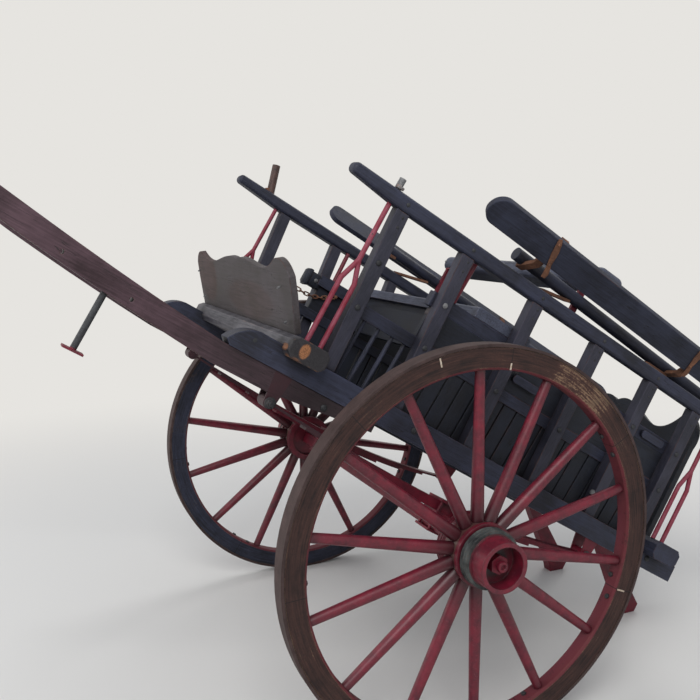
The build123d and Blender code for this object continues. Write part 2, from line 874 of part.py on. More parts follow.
# Spring hangers: a pair of cheeks with a pin through the eye
with BuildPart() as spring_hangers:
    for place, height in spring_ends:
        for inner in (spring_width / 2 + hanger_play, -spring_width / 2 - hanger_play - hanger_cheek):
            with BuildSketch(lengthwise(beam_spread + inner)):
                Polygon(
                    (place - hanger_foot / 2, beam_bottom),
                    (place + hanger_foot / 2, beam_bottom),
                    (place + spring_eye_radius, height),
                    (place - spring_eye_radius, height),
                    align=None,
                )
                with Locations((place, height)):
                    Circle(spring_eye_radius)
            extrude(amount=-hanger_cheek)
        with Locations((place, beam_spread, height)):
            Cylinder(hanger_pin_radius, spring_width + 4 * hanger_cheek, rotation=(90, 0, 0))
    add(shafts.part, mode=Mode.SUBTRACT)
    mirror(about=Plane.XZ)
write_out(spring_hangers.part, "spring_hangers")


# Forked stays from the cross beams up to the top rails
stay_spread = side_point(rail_bottom, 0)[0]
with BuildPart() as stays:
    for place in (front_stay_place, rear_stay_place):
        fork = (place, stay_spread, stay_fork_height)
        rod(fork, (place, stay_spread, beam_top + rail_bottom + rail_taper), stay_radius)
        with Locations(fork):
            Sphere(stay_radius)
        for leg in (place - stay_fork_spread, place + stay_fork_spread):
            shoulder = (leg, stay_spread, stay_shoulder_height)
            rod((leg, stay_spread, cross_top), shoulder, stay_radius)
            rod(shoulder, fork, stay_radius)
            with Locations(shoulder):
                Sphere(stay_radius)
    mirror(about=Plane.XZ)
    add(top_rails.part, mode=Mode.SUBTRACT)
write_out(stays.part, "side_stays")

# Flat irons that run slantwise from each top rail up to its inner rail
with BuildPart() as tie_straps:
    for place in tie_strap_places:
        back = place - tie_strap_length / 2
        front_spread, front_height = side_point(rail_top, 0)
        foot = Vector(place + tie_strap_length / 2, front_spread, front_height)
        head = Vector(back, inner_rail_spread, inner_rail_height(back) - inner_rail_radius)
        with Locations(Plane(origin=foot, x_dir=(0, 0, 1), z_dir=head - foot).location):
            Box(
                2 * tie_strap_thickness,
                tie_strap_width,
                (head - foot).length,
                align=(Align.CENTER, Align.CENTER, Align.MIN),
            )
    add(top_rails.part, mode=Mode.SUBTRACT)
    add(inner_rails.part, mode=Mode.SUBTRACT)
    add(flare_straps.part, mode=Mode.SUBTRACT)
    mirror(about=Plane.XZ)
write_out(tie_straps.part, "tie_straps")

# Angle brackets behind the footboard and the tailboard
lean = radians(footboard_lean)
back_foot = footboard_place - footboard_thickness / cos(lean)
with BuildPart() as board_brackets:
    with BuildSketch(lengthwise(bracket_spread)):
        Polygon(
            (back_foot - bracket_foot, cross_top),
            (back_foot, cross_top),
            (back_foot + bracket_reach * sin(lean), cross_top + bracket_reach * cos(lean)),
            (
                back_foot + bracket_reach * sin(lean) - bracket_thickness * cos(lean),
                cross_top + bracket_reach * cos(lean) + bracket_thickness * sin(lean),
            ),
            (back_foot - bracket_thickness, cross_top + bracket_thickness),
            (back_foot - bracket_foot, cross_top + bracket_thickness),
            align=None,
        )
    extrude(amount=bracket_width / 2, both=True)
    tail_face = rear_cross_place + tailboard_thickness / 2
    with BuildSketch(lengthwise(tail_bracket_spread)):
        with Locations((tail_face, cross_top)):
            Rectangle(bracket_thickness, 2 * bracket_reach, align=(Align.MIN, Align.MIN))
            Rectangle(tail_bracket_foot, bracket_thickness, align=(Align.MIN, Align.MIN))
    extrude(amount=bracket_width / 2, both=True)
    mirror(about=Plane.XZ)
write_out(board_brackets.part, "board_brackets")

# Round pins that stand on the front ends of the top rails: a short one on the left,
# a taller slanting one on the right
pins = (
    (left_pin_place, 1, left_pin_height, left_pin_slant, left_pin_radius),
    (right_pin_place, -1, right_pin_height, right_pin_slant, right_pin_radius),
)
with BuildPart() as rail_pins:
    for place, hand, height, slant, radius in pins:
        foot_y, foot_z = side_point(rail_top - pin_bed, 0)
        head_y, head_z = side_point(rail_top + height, 0)
        bed_shift = slant * pin_bed / height
        rod((place - bed_shift, hand * foot_y, foot_z), (place + slant, hand * head_y, head_z), radius)
    add(top_rails.part, mode=Mode.SUBTRACT)
write_out(rail_pins.part, "rail_pins")

# Mounting step below the left shaft
with BuildPart() as step:
    step_foot = shaft_middle(step_place) - step_length
    step_head = shaft_middle(step_place)
    rod((step_place, beam_spread, step_foot), (step_place, beam_spread, step_head), step_rod_radius)
    with Locations((step_place, beam_spread, step_foot - step_plate / 2)):
        Box(step_plate_length, step_plate_width, step_plate)
    add(shafts.part, mode=Mode.SUBTRACT)
write_out(step.part, "step")

# Tail feet that carry the parked cart: each a strut with its toe cut level with the ground
tilt = radians(rest_tilt)


def on_ground(place):
    """Height of the ground line at a place along the cart when it is parked."""
    return -(wheel_radius + place * sin(tilt)) / cos(tilt)


foot_front = rear_cross_place + cross_width / 2 - cross_chamfer
with BuildPart() as tail_feet:
    with BuildSketch(lengthwise(foot_spread)):
        Polygon(
            (foot_front, cross_bottom),
            (foot_front - foot_root, cross_bottom),
            (foot_back, on_ground(foot_back) + foot_depth),
            (foot_back, on_ground(foot_back)),
            (foot_back + foot_toe, on_ground(foot_back + foot_toe)),
            (foot_back + foot_toe + foot_heel, on_ground(foot_back + foot_toe) + foot_heel),
            align=None,
        )
    extrude(amount=foot_width / 2, both=True)
    mirror(about=Plane.XZ)
write_out(tail_feet.part, "tail_feet")
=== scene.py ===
"""Horse cart: painted and worn timber, iron fittings and a plain studio."""
import json
import math

import bmesh
import bpy
from bpy.props import FloatProperty, FloatVectorProperty, PointerProperty
from mathutils import Matrix, Vector


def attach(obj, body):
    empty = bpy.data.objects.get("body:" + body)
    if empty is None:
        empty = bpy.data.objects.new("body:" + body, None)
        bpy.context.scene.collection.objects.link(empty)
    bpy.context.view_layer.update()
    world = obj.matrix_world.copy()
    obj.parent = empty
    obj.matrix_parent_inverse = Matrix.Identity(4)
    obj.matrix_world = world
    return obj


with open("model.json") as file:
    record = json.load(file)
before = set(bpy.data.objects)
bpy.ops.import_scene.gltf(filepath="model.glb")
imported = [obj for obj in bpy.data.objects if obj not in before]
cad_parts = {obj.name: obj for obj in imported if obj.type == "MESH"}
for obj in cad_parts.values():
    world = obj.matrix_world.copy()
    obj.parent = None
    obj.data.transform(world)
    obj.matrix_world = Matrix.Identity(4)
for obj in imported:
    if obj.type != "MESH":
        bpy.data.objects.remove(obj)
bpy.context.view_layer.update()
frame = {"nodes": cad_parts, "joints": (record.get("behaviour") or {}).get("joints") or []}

bl_info = {
    "name": "Horse cart",
    "version": (1, 0, 0),
    "blender": (4, 5, 0),
    "location": "View3D > Sidebar > Horse cart",
    "description": "Dresses the frame of a two wheeled horse cart",
    "category": "Add Mesh",
}

NODES = frame["nodes"]
WHEEL_HUB = {joint["child"]: Vector(joint["pos_m"]) for joint in frame["joints"]}
AXLE_CENTRE = (WHEEL_HUB["left_wheel"] + WHEEL_HUB["right_wheel"]) / 2
WHEEL_RADIUS = AXLE_CENTRE.z
REST_TILT = math.radians(31)
MM = 0.001

# The level cart's own frame: x forward along the cart, y to its left, z up from the floor,
# with its origin at the middle of the axle, set back into the parked pose.
CART = Matrix.Translation(AXLE_CENTRE) @ Matrix.Rotation(-REST_TILT, 4, "Y")
CART_BACK = Matrix.Rotation(REST_TILT, 3, "Y") @ -AXLE_CENTRE

# Numbered sockets of the colour mixer
FACTOR, FIRST, SECOND, MIXED = 0, 6, 7, 2

# Strength of the light from all round, next to a backdrop of one
SKY_LIGHT = 0.5

# Felloe joints: their count, and the turn of the first one from straight up on the parked cart
FELLOES = 7
FIRST_JOINT = math.radians(-9)


def linear(code):
    """Turns an sRGB hex colour into the linear values that sockets take."""
    parts = [int(code[i : i + 2], 16) / 255 for i in (0, 2, 4)]
    return tuple(p / 12.92 if p <= 0.04045 else ((p + 0.055) / 1.055) ** 2.4 for p in parts)


def colour(name, description, code):
    """A colour setting with its default from an sRGB hex value."""
    return FloatVectorProperty(
        name=name,
        description=description,
        subtype="COLOR",
        size=3,
        min=0.0,
        max=1.0,
        default=linear(code),
    )


def length(name, description, millimetres):
    """A length setting with its default in millimetres."""
    return FloatProperty(name=name, description=description, default=millimetres * MM, unit="LENGTH")


def add_node(tree, kind, inputs=None, **settings):
    """Adds a node, sets its properties, and gives its inputs a value or a link each."""
    node = tree.nodes.new(kind)
    for name, value in settings.items():
        setattr(node, name, value)
    for key, value in (inputs or {}).items():
        if isinstance(value, bpy.types.NodeSocket):
            tree.links.new(value, node.inputs[key])
        elif hasattr(value, "__len__") and len(value) == 3 and node.inputs[key].type == "RGBA":
            node.inputs[key].default_value = (*value, 1)
        else:
            node.inputs[key].default_value = value
    return node


def new_material(name):
    """An empty material with its tree and shader."""
    material = bpy.data.materials.new(name)
    material.use_nodes = True
    tree = material.node_tree
    return material, tree, tree.nodes["Principled BSDF"]


# Places on the pieces, in metres


def cart_place(tree):
    """Place in the level cart's own frame, so that grain follows the tipped timbers."""
    raw = add_node(tree, "ShaderNodeTexCoord").outputs["Object"]
    return add_node(
        tree, "ShaderNodeMapping", {"Vector": raw, "Rotation": (0, REST_TILT, 0), "Location": CART_BACK}
    ).outputs["Vector"]


def hub_place(tree, side):
    """Place about a wheel's hub, with y pointing out of the cart."""
    raw = add_node(tree, "ShaderNodeTexCoord").outputs["Object"]
    hub = WHEEL_HUB[side]
    hand = math.copysign(1, hub.y)
    back = (-hub.x, -hub.y * hand, -hub.z)
    return add_node(
        tree, "ShaderNodeMapping", {"Vector": raw, "Location": back, "Scale": (1, hand, 1)}
    ).outputs["Vector"]


def around(tree, place):
    """Direction from the axle with the place along it added, distance from it, and place along it."""
    apart = add_node(tree, "ShaderNodeSeparateXYZ", {"Vector": place})
    flat = add_node(tree, "ShaderNodeCombineXYZ", {"X": apart.outputs["X"], "Z": apart.outputs["Z"]})
    out = add_node(tree, "ShaderNodeCombineXYZ", {"Y": apart.outputs["Y"]})
    reach = add_node(tree, "ShaderNodeVectorMath", {0: flat.outputs["Vector"]}, operation="LENGTH")
    way = add_node(tree, "ShaderNodeVectorMath", {0: flat.outputs["Vector"]}, operation="NORMALIZE")
    wide = add_node(
        tree, "ShaderNodeVectorMath", {0: way.outputs["Vector"], 1: out.outputs["Vector"]}, operation="ADD"
    )
    return wide.outputs["Vector"], reach.outputs["Value"], apart.outputs["Y"]


def edge_wear(tree, radius):
    """How near a rubbed edge is, and the normal that rounds it off."""
    soft = add_node(tree, "ShaderNodeBevel", {"Radius": radius}, samples=4).outputs["Normal"]
    flat = add_node(tree, "ShaderNodeNewGeometry").outputs["Normal"]
    agree = add_node(tree, "ShaderNodeVectorMath", {0: soft, 1: flat}, operation="DOT_PRODUCT")
    worn = add_node(
        tree, "ShaderNodeMapRange", {"Value": agree.outputs["Value"], "From Min": 0.995, "From Max": 0.88}
    )
    return worn.outputs["Result"], soft


def spot(tree, place, centre, size):
    """One inside an oval spot on the piece, falling to nought at its rim."""
    away = add_node(tree, "ShaderNodeVectorMath", {0: place, 1: centre}, operation="SUBTRACT")
    scaled = add_node(tree, "ShaderNodeVectorMath", {0: away.outputs["Vector"], 1: size}, operation="DIVIDE")
    reach = add_node(tree, "ShaderNodeVectorMath", {0: scaled.outputs["Vector"]}, operation="LENGTH")
    return add_node(
        tree, "ShaderNodeMapRange", {"Value": reach.outputs["Value"], "From Min": 1.1, "From Max": 0.7}
    ).outputs["Result"]


def corner_dirt_and_shade(tree, reach, most):
    """Dirt and painted shade in the corners: how much darker a surface gets within a reach of another
    surface.
    """
    open_sky = add_node(tree, "ShaderNodeAmbientOcclusion", {"Distance": reach}, samples=4).outputs["AO"]
    return add_node(
        tree, "ShaderNodeMapRange", {"Value": open_sky, "From Min": 0.8, "From Max": 0.25, "To Max": most}
    ).outputs["Result"]


def weighed(tree, *parts):
    """Sum of values, each times its weight."""
    total = 0.0
    for value, weight in parts:
        total = add_node(
            tree, "ShaderNodeMath", {0: value, 1: weight, 2: total}, operation="MULTIPLY_ADD"
        ).outputs[0]
    return total


def surfaced(material, tint, relief, strength, depth, soft):
    """Gives a material its colour, and a relief that runs over its rounded edges."""
    tree = material.node_tree
    shader = tree.nodes["Principled BSDF"]
    bump = add_node(
        tree, "ShaderNodeBump", {"Height": relief, "Strength": strength, "Distance": depth, "Normal": soft}
    ).outputs["Normal"]
    tree.links.new(tint, shader.inputs["Base Color"])
    tree.links.new(bump, shader.inputs["Normal"])
    return material


def layered(tree, base, *layers):
    """Colours laid over a first one, each by how far its value has gone from a start to an end."""
    for value, start, end, most, tint in layers:
        cover = add_node(
            tree, "ShaderNodeMapRange", {"Value": value, "From Min": start, "From Max": end, "To Max": most}
        ).outputs["Result"]
        base = add_node(
            tree, "ShaderNodeMix", {FACTOR: cover, FIRST: base, SECOND: tint}, data_type="RGBA"
        ).outputs[MIXED]
    return base


def seen_straight(tree):
    """One for rays from the eye, a mirror or glass, and nought for the light that falls on things."""
    rays = add_node(tree, "ShaderNodeLightPath").outputs
    seen = add_node(
        tree, "ShaderNodeMath", {0: rays["Is Camera Ray"], 1: rays["Is Glossy Ray"]}, operation="MAXIMUM"
    ).outputs[0]
    return add_node(
        tree, "ShaderNodeMath", {0: seen, 1: rays["Is Transmission Ray"]}, operation="MAXIMUM"
    ).outputs[0]


# How far a pattern is drawn out along the grain, as a scale on each axis of the cart
GRAIN = {
    "lengthwise": (0.05, 1.0, 1.0),
    "crosswise": (1.0, 0.05, 1.0),
    "upright": (1.0, 1.0, 0.05),
}


def timber(paint, name, grain, coat, faded, wear, fibre=4.0, dull=0.6, bare=None, spots=(), end_darkening=None):
    """Sawn and planed timber under old paint or varnish.

    The coat has soaked in along the fibres, which gives fine streaks along the grain; it has faded
    in clouds and along the rubbed edges, where the lighter edges are also a painted highlight, and
    worn off in places down to brown wood, with grime in the drying cracks that run with the grain
    and dirt with painted shade in the corners. A timber can be darker towards one end.
    The real fibres are under 1 mm apart, drawn here as wide as the fibre size to show at all.
    """
    material, tree, shader = new_material(name)
    place = cart_place(tree)
    drawn = add_node(tree, "ShaderNodeMapping", {"Vector": place, "Scale": GRAIN[grain]}).outputs["Vector"]
    streak = add_node(
        tree, "ShaderNodeTexNoise",
        {"Vector": drawn, "Scale": 1 / (fibre * MM), "Detail": 3.0, "Roughness": 0.6, "Distortion": 0.2},
    ).outputs["Fac"]
    band = add_node(
        tree, "ShaderNodeTexNoise",
        {"Vector": drawn, "Scale": 1 / (9 * fibre * MM), "Detail": 4.0, "Roughness": 0.65, "Distortion": 0.6},
    ).outputs["Fac"]
    cloud = add_node(
        tree, "ShaderNodeTexNoise",
        {"Vector": place, "Scale": 1 / (150 * MM), "Detail": 5.0, "Roughness": 0.62},
    ).outputs["Fac"]
    fleck = add_node(
        tree, "ShaderNodeTexNoise", {"Vector": place, "Scale": 1 / (11 * MM), "Detail": 4.0, "Roughness": 0.7}
    ).outputs["Fac"]
    edge, soft = edge_wear(tree, 6 * MM)

    # A crack runs where the wide band pattern crosses its middle value
    crossing = add_node(tree, "ShaderNodeMath", {0: band, 1: 0.5}, operation="SUBTRACT").outputs[0]
    crossing = add_node(tree, "ShaderNodeMath", {0: crossing}, operation="ABSOLUTE").outputs[0]
    crack = add_node(
        tree, "ShaderNodeMapRange", {"Value": crossing, "From Min": 0.008, "From Max": 0.002}
    ).outputs["Result"]

    # The paint fades in clouds and along the edges, and the lighter edges are also a painted highlight
    fade_and_edge_highlight = weighed(tree, (streak, 0.5), (cloud, 0.8), (edge, 0.32))
    rub = weighed(tree, (edge, 0.3), (band, 1.0), (cloud, 0.5), (fleck, 0.3))
    bared = add_node(
        tree, "ShaderNodeMapRange",
        {"Value": rub, "From Min": 1.26 - 0.3 * wear, "From Max": 1.38 - 0.3 * wear},
    ).outputs["Result"]
    for centre, size, strength in spots:
        inside = spot(tree, place, centre, size)
        ragged = weighed(tree, (inside, 2.2), (fleck, 0.8), (0.8, -1.0))
        patch = add_node(
            tree, "ShaderNodeMath", {0: ragged, 1: inside}, operation="MULTIPLY", use_clamp=True
        ).outputs[0]
        bared = add_node(
            tree, "ShaderNodeMath", {0: patch, 1: strength, 2: bared},
            operation="MULTIPLY_ADD", use_clamp=True,
        ).outputs[0]
    wood = layered(tree, paint.grime_and_shade, (streak, 0.1, 0.6, 1.0, bare or paint.bare))
    surface = layered(tree, coat, (fade_and_edge_highlight, 0.5, 0.95, 1.0, faded))
    # Darker towards one end of the piece
    if end_darkening:
        axis, start, end, most = end_darkening
        along = add_node(tree, "ShaderNodeSeparateXYZ", {"Vector": place}).outputs[axis]
        dark_end = weighed(tree, (along, 1.0), (cloud, 0.3))
        surface = layered(tree, surface, (dark_end, start, end, most, paint.grime_and_shade))
    surface = layered(
        tree, surface,
        (bared, 0.0, 1.0, 1.0, wood),
        (weighed(tree, (crack, 1.0), (cloud, 1.0)), 1.35, 1.55, 0.8, paint.grime_and_shade),
        # Dirt and painted shade darken the corners
        (corner_dirt_and_shade(tree, 70 * MM, 0.7), 0.0, 1.0, 1.0, paint.grime_and_shade),
    )

    rough = add_node(
        tree, "ShaderNodeMapRange",
        {"Value": weighed(tree, (fade_and_edge_highlight, 0.5), (bared, 0.5)), "From Min": 0.2, "From Max": 0.7,
         "To Min": dull - 0.12, "To Max": dull + 0.18},
    ).outputs["Result"]
    tree.links.new(rough, shader.inputs["Roughness"])
    shader.inputs["IOR"].default_value = 1.5
    shader.inputs["Specular IOR Level"].default_value = 0.35
    relief = weighed(tree, (streak, 1.0), (band, 1.2), (bared, -0.5), (crack, -0.8))
    return surfaced(material, surface, relief, 0.5, 1.2 * MM, soft)


def felloe_wood(side, paint):
    """Sawn ash felloes, painted brown long ago.

    The paint is scoured in long streaks round the rim by road grit, with pale specks of mortar and
    dust thrown up on it. The side towards the cart keeps blue black paint, and the hollow of the
    rim has the spokes' red, brushed a little over its corners.
    """
    material, tree, shader = new_material("sawn ash felloes worn by grit " + side)
    place = hub_place(tree, side)
    way, reach, out = around(tree, place)
    ring = add_node(tree, "ShaderNodeMath", {0: reach, 1: 1 / (30 * MM)}, operation="MULTIPLY").outputs[0]
    streak = add_node(
        tree, "ShaderNodeTexNoise",
        {"Vector": way, "W": ring, "Scale": 6.0, "Detail": 6.0, "Roughness": 0.7},
        noise_dimensions="4D",
    ).outputs["Fac"]
    cloud = add_node(
        tree, "ShaderNodeTexNoise",
        {"Vector": place, "Scale": 1 / (90 * MM), "Detail": 5.0, "Roughness": 0.65},
    ).outputs["Fac"]
    speck = add_node(
        tree, "ShaderNodeTexNoise", {"Vector": place, "Scale": 1 / (7 * MM), "Detail": 2.0, "Roughness": 0.6}
    ).outputs["Fac"]
    edge, soft = edge_wear(tree, 6 * MM)
    scoured = spot(tree, place, (-0.35, 0.027, 0.465), (0.16, 0.05, 0.13))

    # Distance from the nearest felloe joint, whose gap of 1 mm is drawn 3 mm wide to show
    apart = add_node(tree, "ShaderNodeSeparateXYZ", {"Vector": place})
    turn = add_node(
        tree, "ShaderNodeMath", {0: apart.outputs["X"], 1: apart.outputs["Z"]}, operation="ARCTAN2"
    ).outputs[0]
    felloe = weighed(tree, (turn, FELLOES / math.tau), (0.5 - FIRST_JOINT * FELLOES / math.tau, 1.0))
    felloe = add_node(tree, "ShaderNodeMath", {0: felloe}, operation="FRACT").outputs[0]
    half_gap = 1.5 * MM / WHEEL_RADIUS / math.tau * FELLOES
    joint = add_node(
        tree, "ShaderNodeMath", {0: felloe, 1: 0.5, 2: half_gap}, operation="COMPARE"
    ).outputs[0]

    mixed = weighed(tree, (streak, 0.8), (cloud, 0.6))
    rub = weighed(tree, (mixed, 1.0), (edge, 0.26), (speck, 0.4), (scoured, 0.16))
    worn = weighed(tree, (mixed, 1.0), (scoured, 0.12))
    outer = layered(tree, paint.rim_dark, (worn, 0.55, 0.88, 1.0, paint.rim_worn))
    inner = layered(tree, paint.rim_blue, (mixed, 0.55, 1.0, 1.0, paint.coat_faded))
    base = layered(tree, outer, (out, 20 * MM, -20 * MM, 1.0, inner))

    # The spokes' red ends ragged, a little way over the corner of the rim's hollow
    red_end = 556 * MM
    ragged = weighed(tree, (reach, 1.0), (speck, 6 * MM))
    base = layered(
        tree, base,
        (rub, 1.04, 1.2, 0.75, paint.rim_pale),
        (ragged, red_end + 4.5 * MM, red_end + 0.5 * MM, 0.85, paint.rim_red),
        (weighed(tree, (cloud, 1.0), (speck, 0.4), (reach, 1.2)), 1.42, 1.6, 0.6, paint.grime_and_shade),
        # Dirt and painted shade darken the corners
        (corner_dirt_and_shade(tree, 50 * MM, 0.75), 0.0, 1.0, 1.0, paint.grime_and_shade),
        (joint, 0.0, 1.0, 0.8, paint.grime_and_shade),
    )
    shader.inputs["Roughness"].default_value = 0.72
    shader.inputs["IOR"].default_value = 1.5
    shader.inputs["Specular IOR Level"].default_value = 0.35
    return surfaced(material, base, rub, 0.7, 1.6 * MM, soft)


def tyre_iron(side, paint):
    """Wrought iron tyre, shrunk on hot and worn by the road.

    The tread is bare and dull with a brown bloom of rust, in scratches that run round it.
    """
    material, tree, shader = new_material("wrought iron tyre worn by the road " + side)
    place = hub_place(tree, side)
    way, reach, out = around(tree, place)
    scratch = add_node(
        tree, "ShaderNodeTexNoise",
        {"Vector": way, "W": weighed(tree, (out, 30.0)), "Scale": 14.0, "Detail": 5.0, "Roughness": 0.7},
        noise_dimensions="4D",
    ).outputs["Fac"]
    cloud = add_node(
        tree, "ShaderNodeTexNoise", {"Vector": place, "Scale": 1 / (50 * MM), "Detail": 6.0, "Roughness": 0.7}
    ).outputs["Fac"]
    soft = edge_wear(tree, 4 * MM)[1]
    mixed = weighed(tree, (scratch, 1.0), (cloud, 1.0))
    base = layered(tree, paint.tyre_rust, (mixed, 0.75, 1.25, 1.0, paint.tyre_bare))
    shader.inputs["Metallic"].default_value = 0.15
    shader.inputs["Roughness"].default_value = 0.75
    return surfaced(material, base, mixed, 0.5, 1.0 * MM, soft)


def wheel_paint(side, paint, part):
    """Turned ash spokes and hub in red oil paint.

    The paint is chalky and paler where the sun reaches it, with dark grime near the hub and the
    rim and small chips down to dark wood. The hub's barrel is worn to brown wood behind its collar,
    and the cup round the axle's nut is black with grease.
    """
    material, tree, shader = new_material("red oil paint on turned ash " + part + " " + side)
    place = hub_place(tree, side)
    way, reach, out = around(tree, place)
    cloud = add_node(
        tree, "ShaderNodeTexNoise",
        {"Vector": place, "Scale": 1 / (45 * MM), "Detail": 6.0, "Roughness": 0.68},
    ).outputs["Fac"]
    speck = add_node(
        tree, "ShaderNodeTexNoise", {"Vector": place, "Scale": 1 / (9 * MM), "Detail": 3.0, "Roughness": 0.7}
    ).outputs["Fac"]
    edge, soft = edge_wear(tree, 4 * MM)
    rub = weighed(tree, (edge, 0.28), (speck, 1.0), (cloud, 0.5))
    if part == "hub":
        in_barrel = spot(tree, place, (0, -0.004, 0), (0.2, 0.05, 0.2))
        in_cup = spot(tree, place, (0, 0.125, 0), (0.0615, 0.05, 0.0615))
        soiled = (
            (weighed(tree, (in_barrel, 1.0), (cloud, 0.7)), 1.15, 1.4, 0.85, paint.barrel),
            (in_cup, 0.3, 0.8, 0.85, paint.grime_and_shade),
            # Dirt and painted shade darken the corners
            (corner_dirt_and_shade(tree, 40 * MM, 0.7), 0.0, 1.0, 1.0, paint.grime_and_shade),
        )
    else:
        soiled = (
            (weighed(tree, (reach, 1.0), (cloud, -0.14)), 0.13, 0.02, 0.75, paint.grime_and_shade),
            (weighed(tree, (reach, 1.0), (cloud, 0.14)), 0.575, 0.65, 0.8, paint.grime_and_shade),
        )
    base = layered(
        tree, paint.red_dark,
        (cloud, 0.35, 0.68, 1.0, paint.red),
        (speck, 0.55, 0.78, 0.4, paint.red_chalk),
        (rub, 0.95, 1.03, 0.7, paint.chip),
        *soiled,
    )
    shader.inputs["Roughness"].default_value = 0.42
    shader.inputs["IOR"].default_value = 1.5
    return surfaced(material, base, rub, 0.35, 0.8 * MM, soft)


def painted_iron(name, coat, faded, rust, chips, rough, end_darkening=None, dark=None):
    """Forged iron under brushed oil paint, old rust or dull plating.

    The cover lies uneven in clouds, which gives two tones of its colour, and it is chipped in
    specks and at the edges. Rust is rougher than paint, so it shines less.
    """
    material, tree, shader = new_material(name)
    place = cart_place(tree)
    cloud = add_node(
        tree, "ShaderNodeTexNoise",
        {"Vector": place, "Scale": 1 / (50 * MM), "Detail": 6.0, "Roughness": 0.68},
    ).outputs["Fac"]
    speck = add_node(
        tree, "ShaderNodeTexNoise", {"Vector": place, "Scale": 1 / (8 * MM), "Detail": 3.0, "Roughness": 0.7}
    ).outputs["Fac"]
    edge, soft = edge_wear(tree, 2 * MM)
    rub = weighed(tree, (edge, 0.25), (speck, 1.0), (cloud, 0.6))
    base = layered(
        tree, coat,
        (cloud, 0.35, 0.7, 1.0, faded),
        (rub, 1.05 - 0.25 * chips, 1.15 - 0.25 * chips, 1.0, rust),
    )
    # Darker towards one end along the cart
    if end_darkening:
        along = add_node(tree, "ShaderNodeSeparateXYZ", {"Vector": place}).outputs["X"]
        base = layered(tree, base, (weighed(tree, (along, 1.0), (cloud, 0.2)), *end_darkening, dark))
    shader.inputs["Roughness"].default_value = rough
    shader.inputs["Specular IOR Level"].default_value = 0.4
    return surfaced(material, base, rub, 0.4, 0.8 * MM, soft)


def two_part_finish(name, first, second, axis, start, end, rough):
    """One piece in two finishes that meet at a place along one axis of the cart.

    Each finish has clouds and specks of wear; the two colours of each are its dark and its worn one.
    """
    material, tree, shader = new_material(name)
    place = cart_place(tree)
    along = add_node(tree, "ShaderNodeSeparateXYZ", {"Vector": place}).outputs[axis]
    cloud = add_node(
        tree, "ShaderNodeTexNoise",
        {"Vector": place, "Scale": 1 / (30 * MM), "Detail": 6.0, "Roughness": 0.68},
    ).outputs["Fac"]
    speck = add_node(
        tree, "ShaderNodeTexNoise", {"Vector": place, "Scale": 1 / (7 * MM), "Detail": 3.0, "Roughness": 0.7}
    ).outputs["Fac"]
    rub = weighed(tree, (cloud, 0.6), (speck, 0.6))
    sides = [layered(tree, dark, (rub, 0.4, 0.8, 1.0, worn)) for dark, worn in (first, second)]
    base = layered(tree, sides[0], (along, start, end, 1.0, sides[1]))
    shader.inputs["Roughness"].default_value = rough
    soft = edge_wear(tree, 2 * MM)[1]
    return surfaced(material, base, rub, 0.4, 0.8 * MM, soft)


class CartStage(bpy.types.PropertyGroup):
    """Sizes of the studio round the cart."""

    lens: FloatProperty(name="Lens", description="Focal length of the camera in mm", default=42.9)
    floor_size: FloatProperty(
        name="Floor size", description="Side of the square floor", default=60.0, unit="LENGTH"
    )
    floor_near: FloatProperty(
        name="Lit floor", description="How far from the cart the floor keeps its shadows",
        default=1.6, unit="LENGTH",
    )
    floor_far: FloatProperty(
        name="Plain floor", description="Where the floor has taken the backdrop's colour",
        default=5.0, unit="LENGTH",
    )
    floor: colour("Floor", "Colour of the floor", "E2E0DC")
    backdrop: colour("Backdrop", "Colour behind the cart", "E6E4E0")
    sky: colour("Sky", "Colour of the light from all round", "E4E9F2")


